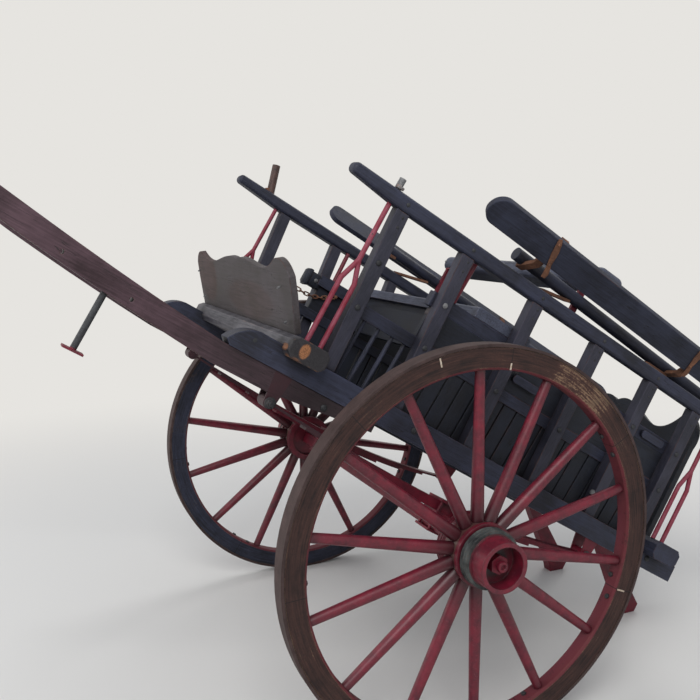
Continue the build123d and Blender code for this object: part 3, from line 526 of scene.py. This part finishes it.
class CartPaint(bpy.types.PropertyGroup):
    """Colours of the cart's paint, wood and iron."""

    coat: colour("Blue black paint", "Paint of the rails and boards", "1A1B25")
    coat_faded: colour("Faded blue black", "The same paint where the weather has faded it", "3D4156")
    # Set darker than the rails' paint, as painted shade on the boards
    panel: colour("Panel paint", "Paint of the seat's panel and the side boards", "12141C")
    panel_faded: colour("Faded panel", "The panels' paint where it has faded", "252A38")
    flare: colour("Flared board paint", "Black paint of the flared boards", "191B26")
    flare_faded: colour("Faded flared board", "The flared boards' paint where it has faded", "3B3F52")
    plank: colour("Plank paint", "Blue grey paint of the seat and the cross plank", "2B2D39")
    plank_faded: colour("Faded plank", "The planks' paint where it has faded", "666B7E")
    stake: colour("Stake paint", "Greyer paint of the stakes", "242530")
    stake_faded: colour("Faded stake paint", "The stakes' paint where it has faded", "454452")
    bare: colour("Bare brown wood", "Wood where the paint has rubbed off", "5C4038")
    # Also the colour of the painted shade in the corners
    grime_and_shade: colour("Grime", "Dirt in corners and open grain", "120F11")
    shaft: colour("Shaft varnish", "Dark varnish of the shafts", "2B1A20")
    shaft_faded: colour("Faded varnish", "Varnish where the weather has faded it", "624A53")
    board: colour("Footboard", "Brown grey of the footboard", "35302F")
    board_faded: colour("Faded footboard", "Paler grey of the footboard", "565054")
    beam: colour("Cross beam", "Paint of the front cross beam", "25242D")
    beam_faded: colour("Faded cross beam", "The cross beam's paint where it has faded", "767479")
    oval: colour("Bare oval", "Bare wood on the front cross beam's end", "A06C48")
    red: colour("Red paint", "Red of spokes, hubs and iron", "78152B")
    red_dark: colour("Dark red", "Red paint where it is dark", "4A101F")
    red_chalk: colour("Chalky red", "Red paint gone chalky in the sun", "8E4656")
    chip: colour("Chip", "Wood or iron in chips of the red paint", "2E1D1E")
    barrel: colour("Worn barrel", "Brown wood of the hub's worn barrel", "5A4A40")
    rim_dark: colour("Dark rim", "Dark brown of the felloes", "1B1010")
    rim_worn: colour("Worn rim", "Brown of the felloes where they are worn", "492F29")
    rim_pale: colour("Pale rim", "Pale dust and specks on the felloes", "A08468")
    rim_blue: colour("Blue rim", "Paint of the felloes' sides towards the cart", "171822")
    rim_red: colour("Red rim", "Dull red in the hollow of the rim", "66262F")
    tyre_bare: colour("Bare tyre", "Bare iron of the tread", "4C3A38")
    tyre_rust: colour("Rusty tyre", "Rust on the tread", "2A1B1A")
    rust: colour("Rust", "Rust on straps and chain", "8C6048")
    rust_dark: colour("Dark rust", "Dark old rust", "4A3228")
    iron: colour("Dark iron", "Dull black of bands and bolts", "17181B")
    iron_pale: colour("Pale iron", "Rubbed iron", "3B3D41")
    band: colour("Hub band", "Grey green bloom on the hubs' iron bands", "5C6260")
    zinc: colour("Zinc", "Dull zinc of the newer bolts", "9B9A9A")
    slip: colour("Wooden slip", "Pale new wood of the slips in the felloe joints", "CFC6B8")


class CartFittings(bpy.types.PropertyGroup):
    """Sizes of the small fittings."""

    bolt: length("Bolt head", "Radius of the bolt heads on the timbers", 9.0)
    nail: length("Nail head", "Radius of the nail heads", 4.0)
    chain_wire: length("Chain wire", "Radius of the bar of the chain's links", 2.8)
    chain_link: length("Chain link", "Length of a link between its centres", 26.0)
    chain_width: length("Chain width", "Width of a link between its centres", 13.0)
    slip_length: length("Slip length", "Length of the slips in the felloe joints", 34.0)
    slip_width: length("Slip width", "Width of the slips in the felloe joints", 5.0)
    strap_width: length("Strap width", "Width of the rusty straps on the flared boards", 19.0)


# Mesh making


def spin(form, profile, place, steps=20):
    """Turns a profile of (radius, height) pairs about the third axis of a placing matrix."""
    rings = []
    for radius, height in profile:
        count = steps if radius > 0 else 1
        ring = []
        for turn in range(count):
            angle = math.tau * turn / count
            corner = Vector((radius * math.cos(angle), radius * math.sin(angle), height))
            ring.append(form.verts.new(place @ corner))
        rings.append(ring)
    for low, high in zip(rings, rings[1:]):
        for turn in range(steps):
            after = turn + 1
            corners = [
                low[turn % len(low)],
                low[after % len(low)],
                high[after % len(high)],
                high[turn % len(high)],
            ]
            form.faces.new([c for i, c in enumerate(corners) if c not in corners[:i]])


def bar(form, points, radius, steps=10, closed=False):
    """A round bar bent along a line of points."""
    count = len(points)
    rings = []
    side = None
    for number, point in enumerate(points):
        before = points[number - 1] if number or closed else point
        after = points[(number + 1) % count] if number < count - 1 or closed else point
        way = (after - before).normalized()
        if side is None:
            side = way.orthogonal().normalized()
        side = (side - way * side.dot(way)).normalized()
        other = way.cross(side)
        ring = []
        for turn in range(steps):
            angle = math.tau * turn / steps
            over = side * radius * math.cos(angle)
            beside = other * radius * math.sin(angle)
            ring.append(form.verts.new(point + over + beside))
        rings.append(ring)
    pairs = list(zip(rings, rings[1:]))
    if closed:
        first = rings[0]
        last = rings[-1]
        shift = min(range(steps), key=lambda k: (last[0].co - first[k].co).length)
        pairs.append((last, first[shift:] + first[:shift]))
    for low, high in pairs:
        for turn in range(steps):
            after = (turn + 1) % steps
            form.faces.new((low[turn], low[after], high[after], high[turn]))
    if not closed:
        form.faces.new(reversed(rings[0]))
        form.faces.new(rings[-1])


def block(form, place, size, cut):
    """A block with its edges cut back, centred on a placing matrix."""
    made = bmesh.ops.create_cube(form, size=1.0)
    verts = made["verts"]
    bmesh.ops.scale(form, vec=size, verts=verts)
    edges = list({edge for vert in verts for edge in vert.link_edges})
    made = bmesh.ops.bevel(form, geom=edges, offset=cut, segments=2, affect="EDGES", profile=0.5)
    bmesh.ops.transform(form, matrix=place, verts=list({v for f in made["faces"] for v in f.verts}))


def facing(place, way):
    """Placing matrix at a point, with its third axis along a direction."""
    return Matrix.Translation(place) @ way.to_track_quat("Z", "Y").to_matrix().to_4x4()


def on_cart(along, across, up):
    """Point given in millimetres in the level cart's own frame."""
    return CART @ Vector((along * MM, across * MM, up * MM))


def way_on_cart(along, across, up):
    """Direction given in the level cart's own frame."""
    return (CART.to_3x3() @ Vector((along, across, up))).normalized()


def in_metres(*pairs):
    """Profile of (radius, height) pairs that are given in millimetres."""
    return [(radius * MM, height * MM) for radius, height in pairs]


def round_head(radius, rise):
    """Profile of a domed bolt or nail head, sunk a little into the face it sits on."""
    return (
        (radius, -0.3 * rise),
        (radius, 0.25 * rise),
        (0.85 * radius, 0.62 * rise),
        (0.5 * radius, 0.9 * rise),
        (0, rise),
    )


def put_piece(form, name, body, material):
    """Makes the mesh into a piece of a body, shaded smooth up to its sharp edges."""
    bmesh.ops.recalc_face_normals(form, faces=form.faces)
    mesh = bpy.data.meshes.new(name)
    form.to_mesh(mesh)
    form.free()
    mesh.shade_smooth()
    mesh.set_sharp_from_angle(angle=math.radians(35))
    mesh.materials.append(material)
    piece = bpy.data.objects.new(name, mesh)
    bpy.context.scene.collection.objects.link(piece)
    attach(piece, body)
    return piece


def strip(form, points, out, widths, thickness):
    """A flat strip along a line of points, lying on a face that looks out."""
    rings = []
    for number, point in enumerate(points):
        way = (points[min(number + 1, len(points) - 1)] - points[max(number - 1, 0)]).normalized()
        side = way.cross(out).normalized()
        lift = side.cross(way) * thickness / 2
        half = side * widths[number] / 2
        ring = []
        for across, over in ((1, 1), (-1, 1), (-1, -1), (1, -1)):
            ring.append(form.verts.new(point + across * half + over * lift))
        rings.append(ring)
    for low, high in zip(rings, rings[1:]):
        for turn in range(4):
            after = (turn + 1) % 4
            form.faces.new((low[turn], low[after], high[after], high[turn]))
    form.faces.new(reversed(rings[0]))
    form.faces.new(rings[-1])


def on_line(points, distance):
    """Place and direction at a distance along a line of points."""
    for start, end in zip(points, points[1:]):
        run = (end - start).length
        if distance <= run or end is points[-1]:
            return start.lerp(end, distance / run), (end - start).normalized()
        distance -= run


def link(form, middle, way, side, size, width, wire):
    """One oval link of a chain, with its length along the chain's way."""
    half = (size - width) / 2
    oval = []
    for end in (1, -1):
        for step in range(7):
            angle = math.pi * step / 6 - math.pi / 2
            reach = way * end * (half + width / 2 * math.cos(angle))
            swing = side * end * width / 2 * math.sin(angle)
            oval.append(middle + reach + swing)
    bar(form, oval, wire, 8, closed=True)


# The leaning side frames, as the frame has them, in millimetres
SIDE_LEAN = math.radians(4.5)
BEAM_SPREAD = 495
BEAM_TOP = 265
STAKE_THICKNESS = 38
STAKE_PLACES = (603, 338, 30, -270, -555, -800)
STAKE_RAKE = 42
RAIL_BOTTOM = 517
RAIL_HEIGHT = 48
RAIL_THICKNESS = 50


def on_side(hand, along, up, outward):
    """Point on a side frame: place along it, height up its lean and distance out of its middle."""
    across = BEAM_SPREAD + up * math.sin(SIDE_LEAN) + outward * math.cos(SIDE_LEAN)
    height = BEAM_TOP + up * math.cos(SIDE_LEAN) - outward * math.sin(SIDE_LEAN)
    return on_cart(along, hand * across, height)


def out_of_side(hand):
    """Direction that points out of a side frame."""
    return way_on_cart(0, hand * math.cos(SIDE_LEAN), -math.sin(SIDE_LEAN))


class CART_OT_paint(bpy.types.Operator):
    """Gives every timber and iron of the frame its finish."""

    bl_idname = "cart.paint"
    bl_label = "Paint"

    def execute(self, context):
        paint = context.scene.cart_paint
        finishes = {}
        for grain in GRAIN:
            finishes["rail " + grain] = timber(
                paint, "oil paint on sawn oak " + grain, grain, paint.coat, paint.coat_faded, 0.25
            )
            # The panel paint is darker than the rails', as painted shade on the boards
            finishes["panel " + grain] = timber(
                paint, "oil paint on pine boards " + grain, grain, paint.panel, paint.panel_faded, 0.15
            )
        finishes["flare"] = timber(
            paint, "oil paint on flared poplar boards", "lengthwise",
            paint.flare, paint.flare_faded, 0.1, dull=0.7,
        )
        finishes["plank"] = timber(
            paint, "worn blue grey paint on planks", "crosswise", paint.plank, paint.plank_faded, 0.2
        )
        finishes["stake"] = timber(
            paint, "oil paint on split oak stakes", "upright", paint.stake, paint.stake_faded, 0.5
        )
        finishes["shaft"] = timber(
            paint, "varnish on bent ash shafts", "lengthwise",
            paint.shaft, paint.shaft_faded, 0.3, 5.0, 0.5, end_darkening=("X", 1.35, 0.75, 0.75),
        )

        # Bared spots: each has its middle and half widths in metres on the level cart, and its strength
        finishes["footboard"] = timber(
            paint, "weathered pine footboard", "crosswise",
            paint.board, paint.board_faded, 0.35, 6.0, 0.7,
            spots=(
                ((0.82, -0.45, 0.42), (0.2, 0.16, 0.12), 0.35),
                ((0.80, 0.1, 0.36), (0.2, 0.3, 0.06), 0.2),
            ),
        )
        finishes["beam"] = timber(
            paint, "worn paint on oak cross beam", "crosswise",
            paint.beam, paint.beam_faded, 0.1, bare=paint.oval, end_darkening=("Y", 0.68, 0.73, 0.8),
            spots=(
                ((0.722, 0.587, 0.274), (0.018, 0.03, 0.025), 1.0),
                ((0.735, 0.560, 0.243), (0.03, 0.03, 0.010), 0.6),
                ((0.768, 0.545, 0.262), (0.012, 0.03, 0.012), 0.7),
            ),
        )

        finishes["red iron"] = painted_iron(
            "red oil paint on forged iron", paint.red_dark, paint.red, paint.chip, 0.4, 0.48
        )
        # The stays' paint is chalky red, and set lighter as a painted highlight
        finishes["stay"] = painted_iron(
            "chalky red oil paint on forged stays", paint.red, paint.red_chalk, paint.chip, 0.4, 0.55
        )
        finishes["spring"] = painted_iron(
            "red oil paint on spring steel", paint.red_dark, paint.red, paint.chip, 0.5, 0.5,
            (0.38, 0.6, 0.9), paint.shaft,
        )
        finishes["rusty"] = painted_iron(
            "forged iron gone to rust", paint.rust_dark, paint.rust, paint.rust_dark, 0.2, 0.85
        )
        finishes["dark iron"] = painted_iron(
            "blacked wrought iron", paint.iron, paint.iron_pale, paint.rust_dark, 0.35, 0.6
        )
        finishes["band"] = painted_iron(
            "wrought iron hub band gone grey", paint.iron, paint.band, paint.rust_dark, 0.3, 0.6
        )
        finishes["zinc"] = painted_iron(
            "dull zinc plating", paint.iron_pale, paint.zinc, paint.rust, 0.1, 0.5
        )

        # The step is red up to 9 mm above its underside. The left pin is of iron and the right one of ash
        plate_top = min((CART.inverted() @ vertex.co).z for vertex in NODES["step"].data.vertices) + 9 * MM
        finishes["step"] = two_part_finish(
            "blacked rod with a red plate",
            (paint.red_dark, paint.red), (paint.iron, paint.iron_pale),
            "Z", plate_top, plate_top + 2 * MM, 0.6,
        )
        finishes["pins"] = two_part_finish(
            "turned ash pin and bare iron pin",
            (paint.rim_dark, paint.bare), (paint.iron_pale, paint.zinc), "Y", 0, 1 * MM, 0.6,
        )
        for side in WHEEL_HUB:
            finishes[side + "_tyre"] = tyre_iron(side, paint)
            finishes[side + "_rim"] = felloe_wood(side, paint)
            finishes[side + "_spokes"] = wheel_paint(side, paint, "spokes")
            finishes[side + "_hub"] = wheel_paint(side, paint, "hub")
            finishes[side + "_hub_band"] = finishes["band"]
        finishes.update(
            dict.fromkeys(
                (
                    "main_beams", "top_rails", "inner_rails", "mid_rails", "upper_rails", "floor_boards",
                    "side_cleats",
                ),
                finishes["rail lengthwise"],
            )
        )
        finishes.update(
            upper_boards=finishes["panel lengthwise"],
            rear_cross_beam=finishes["rail crosswise"],
            floor_bearers=finishes["rail crosswise"],
            seat=finishes["plank"],
            seat_panel=finishes["panel crosswise"],
            spreader=finishes["plank"],
            flare_boards=finishes["flare"],
            tailboard=finishes["panel crosswise"],
            side_slats=finishes["panel upright"],
            side_spindles=finishes["rail upright"],
            stakes=finishes["stake"],
            shafts=finishes["shaft"],
            rail_pins=finishes["pins"],
            footboard=finishes["footboard"],
            front_cross_beam=finishes["beam"],
            flare_straps=finishes["rusty"],
            tie_straps=finishes["rusty"],
            board_brackets=finishes["rusty"],
            side_stays=finishes["stay"],
            leaf_springs=finishes["spring"],
            spring_hangers=finishes["spring"],
        )
        for name, node in NODES.items():
            node.data.materials.clear()
            node.data.materials.append(finishes.get(name, finishes["red iron"]))
        bpy.context.scene["finishes"] = {key: value.name for key, value in finishes.items()}
        return {"FINISHED"}


def from_hub(angle):
    """Direction away from an axle at an angle forward of straight up."""
    return Vector((math.sin(angle), 0, math.cos(angle)))


def finish_named(key):
    """A finish that the paint operator made, by its short name."""
    return bpy.data.materials[bpy.context.scene["finishes"][key]]


class CART_OT_wheel_fittings(bpy.types.Operator):
    """Slips in the felloe joints, rings on hubs and bands, nuts inside the rims and the axle's ends."""

    bl_idname = "cart.wheel_fittings"
    bl_label = "Wheel fittings"

    def execute(self, context):
        sizes = context.scene.cart_fittings
        paint = context.scene.cart_paint
        slip_wood, tree, shader = new_material("planed pine slips")
        speck = add_node(tree, "ShaderNodeTexNoise", {"Scale": 1 / (5 * MM), "Detail": 3.0}).outputs["Fac"]
        wood = layered(tree, paint.rim_pale, (speck, 0.3, 0.7, 1.0, paint.slip))
        tree.links.new(wood, shader.inputs["Base Color"])
        shader.inputs["Roughness"].default_value = 0.8

        # In millimetres from the hub's middle: out of the cart, or away from the axle
        felloe_face = 27
        rim_hollow = 549
        nut_end = 136
        ring = ((96, -2.5), (99.2, -2.5), (100, -1.5), (100, 1.5), (99.2, 2.5), (96, 2.5))
        ridge = ((86, -2.6), (88.8, -2.6), (90.2, -1.2), (90.2, 1.2), (88.8, 2.6), (86, 2.6))

        for side, hub in WHEEL_HUB.items():
            hand = 1 if hub.y > 0 else -1
            outward = Vector((0, hand, 0))

            # Each slip's turn in degrees from straight up, distance from the axle and share of the length
            form = bmesh.new()
            for turn, reach, share in ((14, 599, 0.8), (-9, 561, 0.6), (148, 590, 0.7), (-112, 575, 0.9)):
                way = from_hub(math.radians(turn))
                across = way.cross(outward)
                place = Matrix((across, outward, way)).transposed().to_4x4()
                place.translation = hub + way * reach * MM + outward * felloe_face * MM
                block(form, place, (sizes.slip_width, 2.4 * MM, share * sizes.slip_length), 0.8 * MM)
            put_piece(form, side + "_slips", side, slip_wood)

            out = facing(hub, outward)
            for name, profile, places, finish in (
                ("_hub_rings", ring, (-66, -52), "red iron"),
                ("_band_ridges", ridge, (56, 71, 86), "band"),
            ):
                form = bmesh.new()
                for place in places:
                    spin(form, in_metres(*((radius, place + up) for radius, up in profile)), out, 72)
                put_piece(form, side + name, side, finish_named(finish))

            # Two nuts inside the rim at each felloe joint, one on each side of it
            form = bmesh.new()
            for joint in range(FELLOES):
                for turn, across in ((-3.6, 8), (3.6, -8)):
                    way = from_hub(FIRST_JOINT + math.tau * joint / FELLOES + math.radians(turn))
                    seat = facing(hub + way * rim_hollow * MM + outward * across * MM, -way)
                    spin(form, in_metres((8.5, -2), (8.5, 5), (7, 6), (0, 6)), seat, 6)
            put_piece(form, side + "_rim_nuts", side, finish_named("dark iron"))

            form = bmesh.new()
            boss = in_metres((17, -1), (17, 6), (15.5, 8.5), (9, 8.5), (7.5, 7), (7.5, 2), (0, 2))
            spin(form, boss, facing(hub + outward * nut_end * MM, outward), 24)
            put_piece(form, side + "_axle_end", "cart", finish_named("red iron"))
        return {"FINISHED"}


class CART_OT_side_fittings(bpy.types.Operator):
    """Bolt and nail heads on the stakes, the rails and the boards, and the straps on the flared boards."""

    bl_idname = "cart.side_fittings"
    bl_label = "Side fittings"

    def execute(self, context):
        sizes = context.scene.cart_fittings
        bolts = bmesh.new()
        nails = bmesh.new()
        bright = bmesh.new()
        straps = bmesh.new()
        face = STAKE_THICKNESS / 2
        for hand in (1, -1):
            out = out_of_side(hand)
            for place in STAKE_PLACES:
                for up in (205, 350):
                    along = place + STAKE_RAKE * up / RAIL_BOTTOM
                    head = bright if (place, up) == (338, 350) else bolts
                    seat = facing(on_side(hand, along, up, face), out)
                    spin(head, round_head(sizes.bolt, 0.55 * sizes.bolt), seat, 16)
                along = place + STAKE_RAKE
                spin(
                    bolts,
                    round_head(0.7 * sizes.bolt, 0.35 * sizes.bolt),
                    facing(on_side(hand, along, RAIL_BOTTOM + RAIL_HEIGHT / 2, RAIL_THICKNESS / 2), out),
                    16,
                )
                for rise in (-18, 14):
                    nail = on_side(hand, place + STAKE_RAKE * 0.95 - 6, RAIL_BOTTOM - 30 + rise, face)
                    spin(nails, round_head(sizes.nail, 0.5 * sizes.nail), facing(nail, out), 10)

            # The board's face leans half way between upright and flat
            slope = way_on_cart(0, hand, -1)
            for top, foot in ((192, 126), (-527, -586), (-1225, -1282)):
                run = top - foot
                line = [
                    (foot - 3, 580, 853, -1), (foot, 588, 866, 2.2),
                    (foot + 0.3 * run, 612, 890, 2.6), (foot + 0.6 * run, 642, 920, 2.2),
                    (foot + 0.85 * run, 664, 942, 2.8), (top, 676, 954, 1.2),
                ]
                middle = [on_cart(s, hand * y, h) + slope * lift * MM for s, y, h, lift in line]
                wavy = [0.8, 1.0, 0.75, 1.15, 0.95, 0.6]
                strip(straps, middle, slope, [sizes.strap_width * share for share in wavy], 3 * MM)
                for number in (2, 4):
                    head = facing(middle[number] + slope * 1.2 * MM, slope)
                    spin(straps, round_head(1.2 * sizes.nail, sizes.nail), head, 10)
        for hand in (1, -1):
            plank_end = facing(on_cart(-104, hand * 506, 993), way_on_cart(1, 0, 0))
            spin(bright, round_head(1.3 * sizes.nail, sizes.nail), plank_end, 12)
        knob = on_side(1, -512, 78, 22)
        spin(bright, round_head(1.1 * sizes.bolt, 0.8 * sizes.bolt), facing(knob, out_of_side(1)), 16)
        put_piece(bolts, "side_bolts", "cart", finish_named("dark iron"))
        put_piece(nails, "side_nails", "cart", finish_named("dark iron"))
        put_piece(bright, "bright_bolts", "cart", finish_named("zinc"))
        put_piece(straps, "board_straps", "cart", finish_named("rusty"))
        return {"FINISHED"}


class CART_OT_front_fittings(bpy.types.Operator):
    """The chain, the bolts of footboard and beams, a batten's end, the rail clamp and the pins' ties."""

    bl_idname = "cart.front_fittings"
    bl_label = "Front fittings"

    def execute(self, context):
        sizes = context.scene.cart_fittings
        chain = bmesh.new()
        route = [
            on_cart(*point)
            for point in (
                (598, -492, 596), (555, -480, 563), (512, -473, 549), (474, -471, 540), (436, -470, 538),
                (396, -469, 542), (356, -468, 556), (327, -467, 573), (300, -464, 590),
            )
        ]
        pitch = sizes.chain_link - 2 * sizes.chain_wire
        count = int(sum((b - a).length for a, b in zip(route, route[1:])) / pitch)
        for number in range(count):
            middle, way = on_line(route, (number + 0.5) * pitch)
            side = way.cross(Vector((0, 0, 1))).normalized()
            if number % 2:
                side = way.cross(side)
            link(chain, middle, way, side, sizes.chain_link, sizes.chain_width, sizes.chain_wire)
        for hook, way in ((route[0], way_on_cart(0, 1, 0)), (route[-1], way_on_cart(0, 1, 0))):
            spin(chain, round_head(7 * MM, 6 * MM), facing(hook + way * 2 * MM, way), 14)
            bar(chain, [hook - way * 12 * MM, hook, hook + way * 3 * MM], 3.5 * MM)
        put_piece(chain, "chain", "cart", finish_named("rusty"))

        zinc = bmesh.new()
        lean = way_on_cart(-math.cos(math.radians(26)), 0, -math.sin(math.radians(26)))
        for hand in (1, -1):
            for along, up in ((862, 408), (793, 330)):
                seat = facing(on_cart(along, hand * 496, up) + lean * 9 * MM, lean)
                spin(zinc, round_head(6.5 * MM, 4 * MM), seat, 14)
        put_piece(zinc, "footboard_bolts", "cart", finish_named("zinc"))

        dark = bmesh.new()
        for hand in (1, -1):
            out = way_on_cart(0, hand, 0)
            for along, up in ((720, 98), (-610, 132)):
                for place, radius, rise, steps in ((529, 18, 4, 24), (533, 14, 11, 6), (544, 8, 7, 16)):
                    nut = in_metres((radius, 0), (radius, 0.8 * rise), (0.85 * radius, rise), (0, rise))
                    spin(dark, nut, facing(on_cart(along, hand * place, up), out), steps)
            for along, up in ((850, 236), (560, 158), (430, 155), (250, 228), (-420, 228), (-880, 228)):
                deep = 525 if along > 380 else 530
                spin(dark, round_head(11 * MM, 6 * MM), facing(on_cart(along, hand * deep, up), out), 16)
        put_piece(dark, "beam_bolts", "cart", finish_named("dark iron"))

        tilt = CART.to_3x3().to_4x4()
        batten = bmesh.new()
        block(batten, Matrix.Translation(on_cart(364, 487, 578)) @ tilt, Vector((44, 26, 24)) * MM, 4 * MM)
        put_piece(batten, "batten_end", "cart", finish_named("footboard"))

        clamp = bmesh.new()
        block(clamp, Matrix.Translation(on_cart(425, -489, 606)) @ tilt, Vector((78, 42, 60)) * MM, 6 * MM)
        block(clamp, Matrix.Translation(on_cart(448, -489, 606)) @ tilt, Vector((18, 50, 72)) * MM, 4 * MM)
        put_piece(clamp, "rail_clamp", "cart", finish_named("panel upright"))
        nut = bmesh.new()
        spin(nut, round_head(9 * MM, 6 * MM), facing(on_cart(412, -468, 606), way_on_cart(0, 1, 0)), 14)
        put_piece(nut, "clamp_bolt", "cart", finish_named("zinc"))

        # Thin wire wound round the foot of the left pin
        wire = bmesh.new()
        turns = 3.5
        steps = 56
        place = facing(on_cart(690, 548, 829), way_on_cart(0, math.sin(SIDE_LEAN), math.cos(SIDE_LEAN)))
        coil = []
        for step in range(steps + 1):
            angle = math.tau * turns * step / steps
            reach = 12.5 * MM + 1.5 * MM * math.sin(3.1 * angle)
            height = (1.5 + 9 * step / steps) * MM
            coil.append(place @ Vector((reach * math.cos(angle), reach * math.sin(angle), height)))
        bar(wire, coil, 1.6 * MM, 6)
        put_piece(wire, "pin_wire", "cart", finish_named("zinc"))

        collar = bmesh.new()
        lean = way_on_cart(math.sin(REST_TILT), -math.sin(SIDE_LEAN), math.cos(REST_TILT))
        sleeve = in_metres((15.5, 0), (19.5, 0), (20, 2), (20, 14), (19, 16), (15.5, 16))
        spin(collar, sleeve, facing(on_cart(745, -547, 832), lean), 24)
        put_piece(collar, "pin_collar", "cart", finish_named("rusty"))
        return {"FINISHED"}


class CART_OT_stage(bpy.types.Operator):
    """Makes the floor, the lights and the camera."""

    bl_idname = "cart.stage"
    bl_label = "Stage"

    def execute(self, context):
        sizes = context.scene.cart_stage
        scene = context.scene
        scene.view_settings.view_transform = "Standard"

        mesh = bpy.data.meshes.new("floor")
        form = bmesh.new()
        bmesh.ops.create_grid(form, x_segments=1, y_segments=1, size=sizes.floor_size / 2)
        form.to_mesh(mesh)
        form.free()
        floor = bpy.data.objects.new("floor", mesh)
        floor.location.z = -0.0005
        scene.collection.objects.link(floor)
        material, tree, shader = new_material("pale studio floor")
        shader.inputs["Base Color"].default_value = (*sizes.floor, 1)
        shader.inputs["Roughness"].default_value = 0.9
        mesh.materials.append(material)

        # The floor takes the backdrop's own colour further out, so that no horizon shows
        place = add_node(tree, "ShaderNodeTexCoord").outputs["Object"]
        reach = add_node(tree, "ShaderNodeVectorMath", {0: place}, operation="LENGTH").outputs["Value"]
        gone = add_node(
            tree, "ShaderNodeMapRange",
            {"Value": reach, "From Min": sizes.floor_near, "From Max": sizes.floor_far},
            interpolation_type="SMOOTHSTEP",
        ).outputs["Result"]
        gone = add_node(
            tree, "ShaderNodeMath", {0: gone, 1: seen_straight(tree)}, operation="MULTIPLY"
        ).outputs[0]
        plain = add_node(tree, "ShaderNodeEmission", {"Color": sizes.backdrop}).outputs["Emission"]
        mixed = add_node(
            tree, "ShaderNodeMixShader", {0: gone, 1: shader.outputs["BSDF"], 2: plain}
        ).outputs["Shader"]
        tree.links.new(mixed, tree.nodes["Material Output"].inputs["Surface"])

        world = bpy.data.worlds.new("studio")
        scene.world = world
        world.use_nodes = True
        tree = world.node_tree
        back = tree.nodes["Background"]
        seen = seen_straight(tree)
        strength = add_node(
            tree, "ShaderNodeMapRange", {"Value": seen, "To Min": SKY_LIGHT, "To Max": 1.0}
        ).outputs["Result"]
        tree.links.new(layered(tree, sizes.sky, (seen, 0.0, 1.0, 1.0, sizes.backdrop)), back.inputs["Color"])
        tree.links.new(strength, back.inputs["Strength"])

        for name, place, size, power in (
            ("key", (2.5, 4.5, 5.5), 4.0, 270),
            ("fill", (5.5, -2.0, 3.5), 4.0, 105),
            ("back", (-4.5, -3.5, 5.0), 3.0, 95),
        ):
            lamp = bpy.data.lights.new(name, "AREA")
            lamp.size = size
            lamp.energy = power
            light = bpy.data.objects.new(name, lamp)
            light.location = place
            light.rotation_mode = "QUATERNION"
            light.rotation_quaternion = (AXLE_CENTRE - Vector(place)).to_track_quat("-Z", "Y")
            scene.collection.objects.link(light)

        lens = bpy.data.cameras.new("camera")
        lens.lens = sizes.lens
        lens.sensor_width = 36.0
        camera = bpy.data.objects.new("camera", lens)
        # The eye's place, in metres, and its turns, as the photograph was taken
        eye = Vector((AXLE_CENTRE.x + 1.283, 2.789, 1.590))
        yaw = math.radians(-113.2)
        pitch = math.radians(-8.58)
        roll = math.radians(-0.20)
        look = Vector((math.cos(yaw) * math.cos(pitch), math.sin(yaw) * math.cos(pitch), math.sin(pitch)))
        turn = look.to_track_quat("-Z", "Y").to_matrix() @ Matrix.Rotation(roll, 3, "Z")
        camera.matrix_world = Matrix.Translation(eye) @ turn.to_4x4()
        scene.collection.objects.link(camera)
        scene.camera = camera
        return {"FINISHED"}


class CART_PT_panel(bpy.types.Panel):
    """Shows a button for each of the operators that dress the cart."""

    bl_label = "Horse cart"
    bl_idname = "CART_PT_panel"
    bl_space_type = "VIEW_3D"
    bl_region_type = "UI"
    bl_category = "Horse cart"

    def draw(self, context):
        for maker in MAKERS:
            self.layout.operator(maker.bl_idname)


MAKERS = (CART_OT_paint, CART_OT_wheel_fittings, CART_OT_side_fittings, CART_OT_front_fittings, CART_OT_stage)
GROUPS = {"cart_stage": CartStage, "cart_paint": CartPaint, "cart_fittings": CartFittings}
CLASSES = (*GROUPS.values(), *MAKERS, CART_PT_panel)


def register():
    for entry in CLASSES:
        bpy.utils.register_class(entry)
    for name, group in GROUPS.items():
        setattr(bpy.types.Scene, name, PointerProperty(type=group))


def unregister():
    for name in GROUPS:
        delattr(bpy.types.Scene, name)
    for entry in reversed(CLASSES):
        bpy.utils.unregister_class(entry)


def main():
    register()
    for maker in MAKERS:
        group, call = maker.bl_idname.split(".")
        getattr(getattr(bpy.ops, group), call)()


if __name__ == "__main__":
    main()
